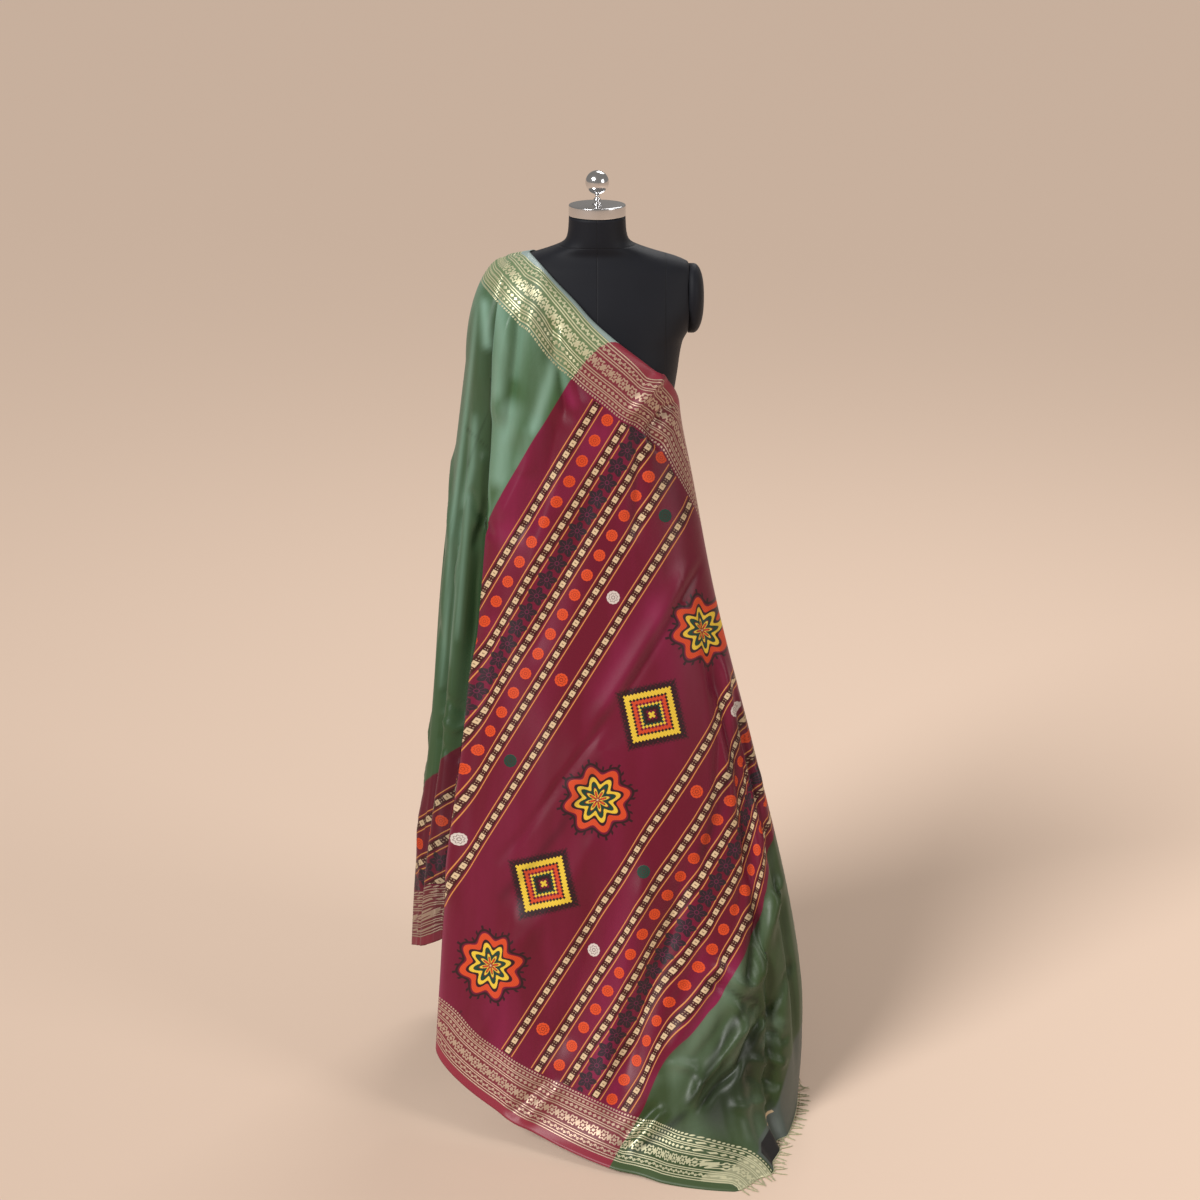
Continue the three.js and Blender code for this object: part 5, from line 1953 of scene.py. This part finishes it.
@dataclass
class DressForm:
    """The limbless form: its body, arm plates, neck cap, finial, pole and base."""

    around: int = 144
    upright: int = 190
    roundness: float = 2.2
    arm_cut: float = 0.164
    shrink: float = 0.0006
    plate_height: float = 0.063
    plate_depth: float = 0.046
    plate_bulge: float = 0.028
    plate_centre: float = 1.514
    cap_top: float = 1.683
    cap_height: float = 0.020
    cap_radius: float = 0.051
    ball_radius: float = 0.021
    ball_centre: float = 1.722
    pole_radius: float = 0.016
    pole_foot: float = 0.034
    base_radius: float = 0.180
    base_height: float = 0.022

    def build(self) -> list[bpy.types.Object]:
        """Builds every piece of the form and returns them."""
        cloth = FormCloth().build()
        chrome = Metal("chrome", (0.78, 0.78, 0.79), (0.62, 0.62, 0.63), 0.16, 1.0).build()
        steel = Metal("painted_steel", (0.020, 0.021, 0.023), (0.040, 0.041, 0.043), 0.45, 0.0).build()
        cap = self.round_bar(self.cap_radius, self.cap_top - self.cap_height, self.cap_top, 0.0022)
        pieces = [
            self.body(cloth),
            self.plate(1, "arm_plate_right", cloth),
            self.plate(-1, "arm_plate_left", cloth),
            self.turned("form_neck_cap", cap, chrome, "neck_cap", "chrome"),
            self.turned("form_finial", self.finial(), chrome, "finial", "chrome"),
            self.turned("form_pole", self.pole(), chrome, "pole", "chrome", 48),
            self.turned("form_base", self.base(), steel, "stand_base", "painted_steel", 128),
        ]
        return pieces

    def body(self, cloth: bpy.types.Material) -> bpy.types.Object:
        """The body in stretch cloth, flat where each arm would start.

        Args:
            cloth: its material.

        Returns:
            The finished piece.
        """
        bm = bmesh.new()
        rows = self.upright
        made = bmesh.ops.create_grid(bm, x_segments=self.around, y_segments=rows - 1, size=1.0)["verts"]
        heights = np.linspace(BODY[0].z, BODY[-1].z, rows)
        sizes = {name: along(BODY, name, heights) - self.shrink for name in ("half", "front", "back")}
        for vert in made:
            row = round((vert.co.y + 1) / 2 * (rows - 1))
            turn = (vert.co.x + 1) * math.pi
            c, s = math.cos(turn), math.sin(turn)
            x = sizes["half"][row] * math.copysign(abs(c) ** (2 / self.roundness), c)
            deep = sizes["front" if s < 0 else "back"][row]
            y = deep * math.copysign(abs(s) ** (2 / self.roundness), s)
            vert.co = (max(-self.arm_cut, min(self.arm_cut, x)), y, heights[row])
        bmesh.ops.remove_doubles(bm, verts=made, dist=1e-6)
        rims = [edge for edge in bm.edges if edge.is_boundary]
        bmesh.ops.holes_fill(bm, edges=rims, sides=0)
        return dressed("form_body", bm, cloth, ("torso",))

    def plate(self, side: int, node: str, cloth: bpy.types.Material) -> bpy.types.Object:
        """The domed plate that closes an arm opening, with a rolled rim.

        Args:
            side: 1 for the right of the picture, -1 for the left.
            node: the frame's part that it replaces.
            cloth: its material.

        Returns:
            The finished piece.
        """
        profile = [(0.0, 0.0), (1.0, 0.0), (1.0, 0.30)]
        crown = np.linspace(0.08, math.pi / 2 - 0.04, 20)
        profile += [(math.cos(a) ** 0.8, 0.3 + 0.7 * math.sin(a)) for a in crown]
        profile.append((0.0, 1.0))
        bm = self.spun(profile, 96)
        size = Matrix.Diagonal((self.plate_height, self.plate_depth, self.plate_bulge, 1.0))
        turn = Matrix.Rotation(side * math.pi / 2, 4, "Y")
        place = Matrix.Translation((side * (self.arm_cut + 0.0003), 0, self.plate_centre))
        bmesh.ops.transform(bm, matrix=place @ turn @ size, verts=bm.verts)
        return dressed("form_" + node, bm, cloth, (node,))

    def spun(self, profile: Sequence[tuple[float, float]], steps: int) -> bmesh.types.BMesh:
        """Spins a profile of radius and height about the upright axis.

        Args:
            profile: pairs of radius and height.
            steps: how many stretches a turn has.

        Returns:
            The mesh.
        """
        bm = bmesh.new()
        verts = [bm.verts.new((radius, 0, height)) for radius, height in profile]
        edges = [bm.edges.new(pair) for pair in zip(verts, verts[1:])]
        bmesh.ops.spin(bm, geom=verts + edges, cent=(0, 0, 0), axis=(0, 0, 1), angle=2 * math.pi, steps=steps,
                       use_merge=True, use_duplicate=False)
        bmesh.ops.remove_doubles(bm, verts=bm.verts, dist=1e-6)
        return bm

    def turned(self, name: str, profile: Sequence[tuple[float, float]], finish: bpy.types.Material, node: str,
               slot: str, steps: int = 96) -> bpy.types.Object:
        """Spins and dresses a round piece.

        Args:
            name: the piece's name.
            profile: pairs of radius and height.
            finish: its material.
            node: the frame's part that it replaces.
            slot: not used.
            steps: how many stretches a turn has.

        Returns:
            The finished piece.
        """
        return dressed(name, self.spun(profile, steps), finish, (node,))

    def round_bar(self, radius: float, low: float, high: float, edge: float) -> list[tuple[float, float]]:
        """The profile of a short bar with rounded edges.

        Args:
            radius: the bar's radius.
            low: its lower end.
            high: its upper end.
            edge: the radius of its rounded edges.

        Returns:
            Pairs of radius and height.
        """
        turns = np.linspace(0, math.pi / 2, 6)
        profile = [(0.0, low), (radius * 0.5, low)]
        profile += [(radius - edge + edge * math.sin(a), low + edge - edge * math.cos(a)) for a in turns]
        profile += [(radius - edge + edge * math.cos(a), high - edge + edge * math.sin(a)) for a in turns]
        return profile + [(radius * 0.5, high + 0.0004), (0.0, high + 0.0004)]

    def finial(self) -> list[tuple[float, float]]:
        """The profile of the ball on its short beaded stem."""
        foot = self.cap_top + 0.0003
        stem = [(0.0, 0.0), (0.009, 0.0), (0.0094, 0.0008), (0.009, 0.0016)]
        stem += [(0.0048, 0.0028), (0.004, 0.0040)]
        ring = np.linspace(0.2, 2.94, 8)
        stem += [(0.004 + 0.0026 * math.sin(a), 0.0085 - 0.0022 * math.cos(a)) for a in ring]
        stem += [(0.004, 0.0125), (0.004, 0.0150)]
        start = math.asin(0.004 / self.ball_radius)
        ball = [
            (self.ball_radius * math.sin(a), self.ball_centre - self.ball_radius * math.cos(a))
            for a in np.linspace(start, math.pi - 0.02, 40)
        ]
        return [(r, foot + h) for r, h in stem] + ball + [(0.0, self.ball_centre + self.ball_radius)]

    def pole(self) -> list[tuple[float, float]]:
        """The profile of the pole with its two collars."""
        low, high = self.base_height + 0.0003, BODY[0].z - 0.0003
        wide, thin = self.pole_foot, self.pole_radius
        lower = [(0.0, low), (wide, low), (wide, low + 0.008)]
        lower += [(wide - 0.002, low + 0.010), (thin + 0.003, low + 0.018)]
        upper = [(thin + 0.003, high - 0.022), (wide, high - 0.012), (wide, high), (0.0, high)]
        return lower + [(thin, low + 0.022), (thin, 0.30), (thin, 0.55), (thin, high - 0.030)] + upper

    def base(self) -> list[tuple[float, float]]:
        """The profile of the round base, dished at its edge."""
        r, h = self.base_radius, self.base_height
        return [
            (0.0, 0.0), (r - 0.003, 0.0), (r, 0.003), (r, h - 0.010), (r - 0.0012, h - 0.0075),
            (r - 0.004, h - 0.0055), (r - 0.014, h - 0.003), (r - 0.050, h - 0.0012), (0.060, h), (0.0, h),
        ]


def add_camera() -> None:
    """Puts the camera where the photograph was taken from."""
    data = bpy.data.cameras.new("camera")
    data.sensor_width = SENSOR
    data.lens = SENSOR * FOCAL_PIXELS / FRAME_PIXELS
    data.dof.use_dof = False
    data.clip_end = 60.0
    camera = bpy.data.objects.new("camera", data)
    camera.location = CAMERA_PLACE
    camera.rotation_euler = (math.radians(90 - CAMERA_DOWN), 0, 0)
    bpy.context.scene.collection.objects.link(camera)
    bpy.context.scene.camera = camera


def add_light(name: str, place: tuple[float, float, float], size: float, power: float,
              tone: Tone) -> None:
    """Adds a soft square lamp that faces the form.

    Args:
        name: the lamp's name.
        place: where it stands.
        size: its width in metres.
        power: its power in watts.
        tone: its colour.
    """
    data = bpy.data.lights.new(name, "AREA")
    data.size = size
    data.energy = power
    data.color = tone
    lamp = bpy.data.objects.new(name, data)
    lamp.location = place
    aim = Vector(LIGHT_AIM) - Vector(place)
    lamp.rotation_euler = aim.to_track_quat("-Z", "Y").to_euler()
    bpy.context.scene.collection.objects.link(lamp)


def add_stage() -> None:
    """Adds the pale floor and the soft studio light."""
    bm = bmesh.new()
    bmesh.ops.create_grid(bm, x_segments=1, y_segments=1, size=FLOOR_HALF)
    mesh = bpy.data.meshes.new("floor")
    bm.to_mesh(mesh)
    bm.free()
    floor = bpy.data.objects.new("floor", mesh)
    bpy.context.scene.collection.objects.link(floor)
    paper, _, shader = new_material("floor_paper")
    shader.inputs["Base Color"].default_value = FLOOR_COLOUR
    shader.inputs["Roughness"].default_value = 0.9
    mesh.materials.append(paper)
    sun = bpy.data.lights.new("key", "SUN")
    sun.energy = 2.9
    sun.angle = 0.42
    lamp = bpy.data.objects.new("key", sun)
    lamp.rotation_euler = Vector(KEY_WAY).to_track_quat("-Z", "Y").to_euler()
    bpy.context.scene.collection.objects.link(lamp)
    add_light("fill", (3.0, -1.8, 2.6), 1.2, 38.0, (1.0, 0.98, 0.96))
    add_light("back", (0.9, 2.5, 4.3), 1.8, 60.0, (1.0, 1.0, 1.0))
    world = bpy.data.worlds.new("studio")
    world.use_nodes = True
    world.node_tree.nodes["Background"].inputs[0].default_value = ROOM_COLOUR
    world.node_tree.nodes["Background"].inputs[1].default_value = ROOM_STRENGTH
    bpy.context.scene.world = world
    bpy.context.scene.view_settings.view_transform = "Standard"


def main() -> None:
    """Builds the pieces in order and reports each one."""
    logging.basicConfig(level=logging.INFO, format="%(message)s")
    add_camera()
    add_stage()
    silk = SareeSilk().build(SilkPatterns())
    front, side, back = SareeFront(), SareeSide(), SareeBack()
    lines = EdgeLines(front, side, back)
    fringe = Fringe().build(FringeThread().build(), lines.end)
    LOG.info("%s: %d faces", fringe.name, len(fringe.data.polygons))
    for part in (front, side, back):
        obj = part.build(silk, lines)
        LOG.info("%s: %d faces", obj.name, len(obj.data.polygons))
    for obj in back.build_layers(silk):
        LOG.info("%s: %d faces", obj.name, len(obj.data.polygons))
    for obj in DressForm().build():
        LOG.info("%s: %d faces", obj.name, len(obj.data.polygons))


if __name__ == "__main__":
    main()
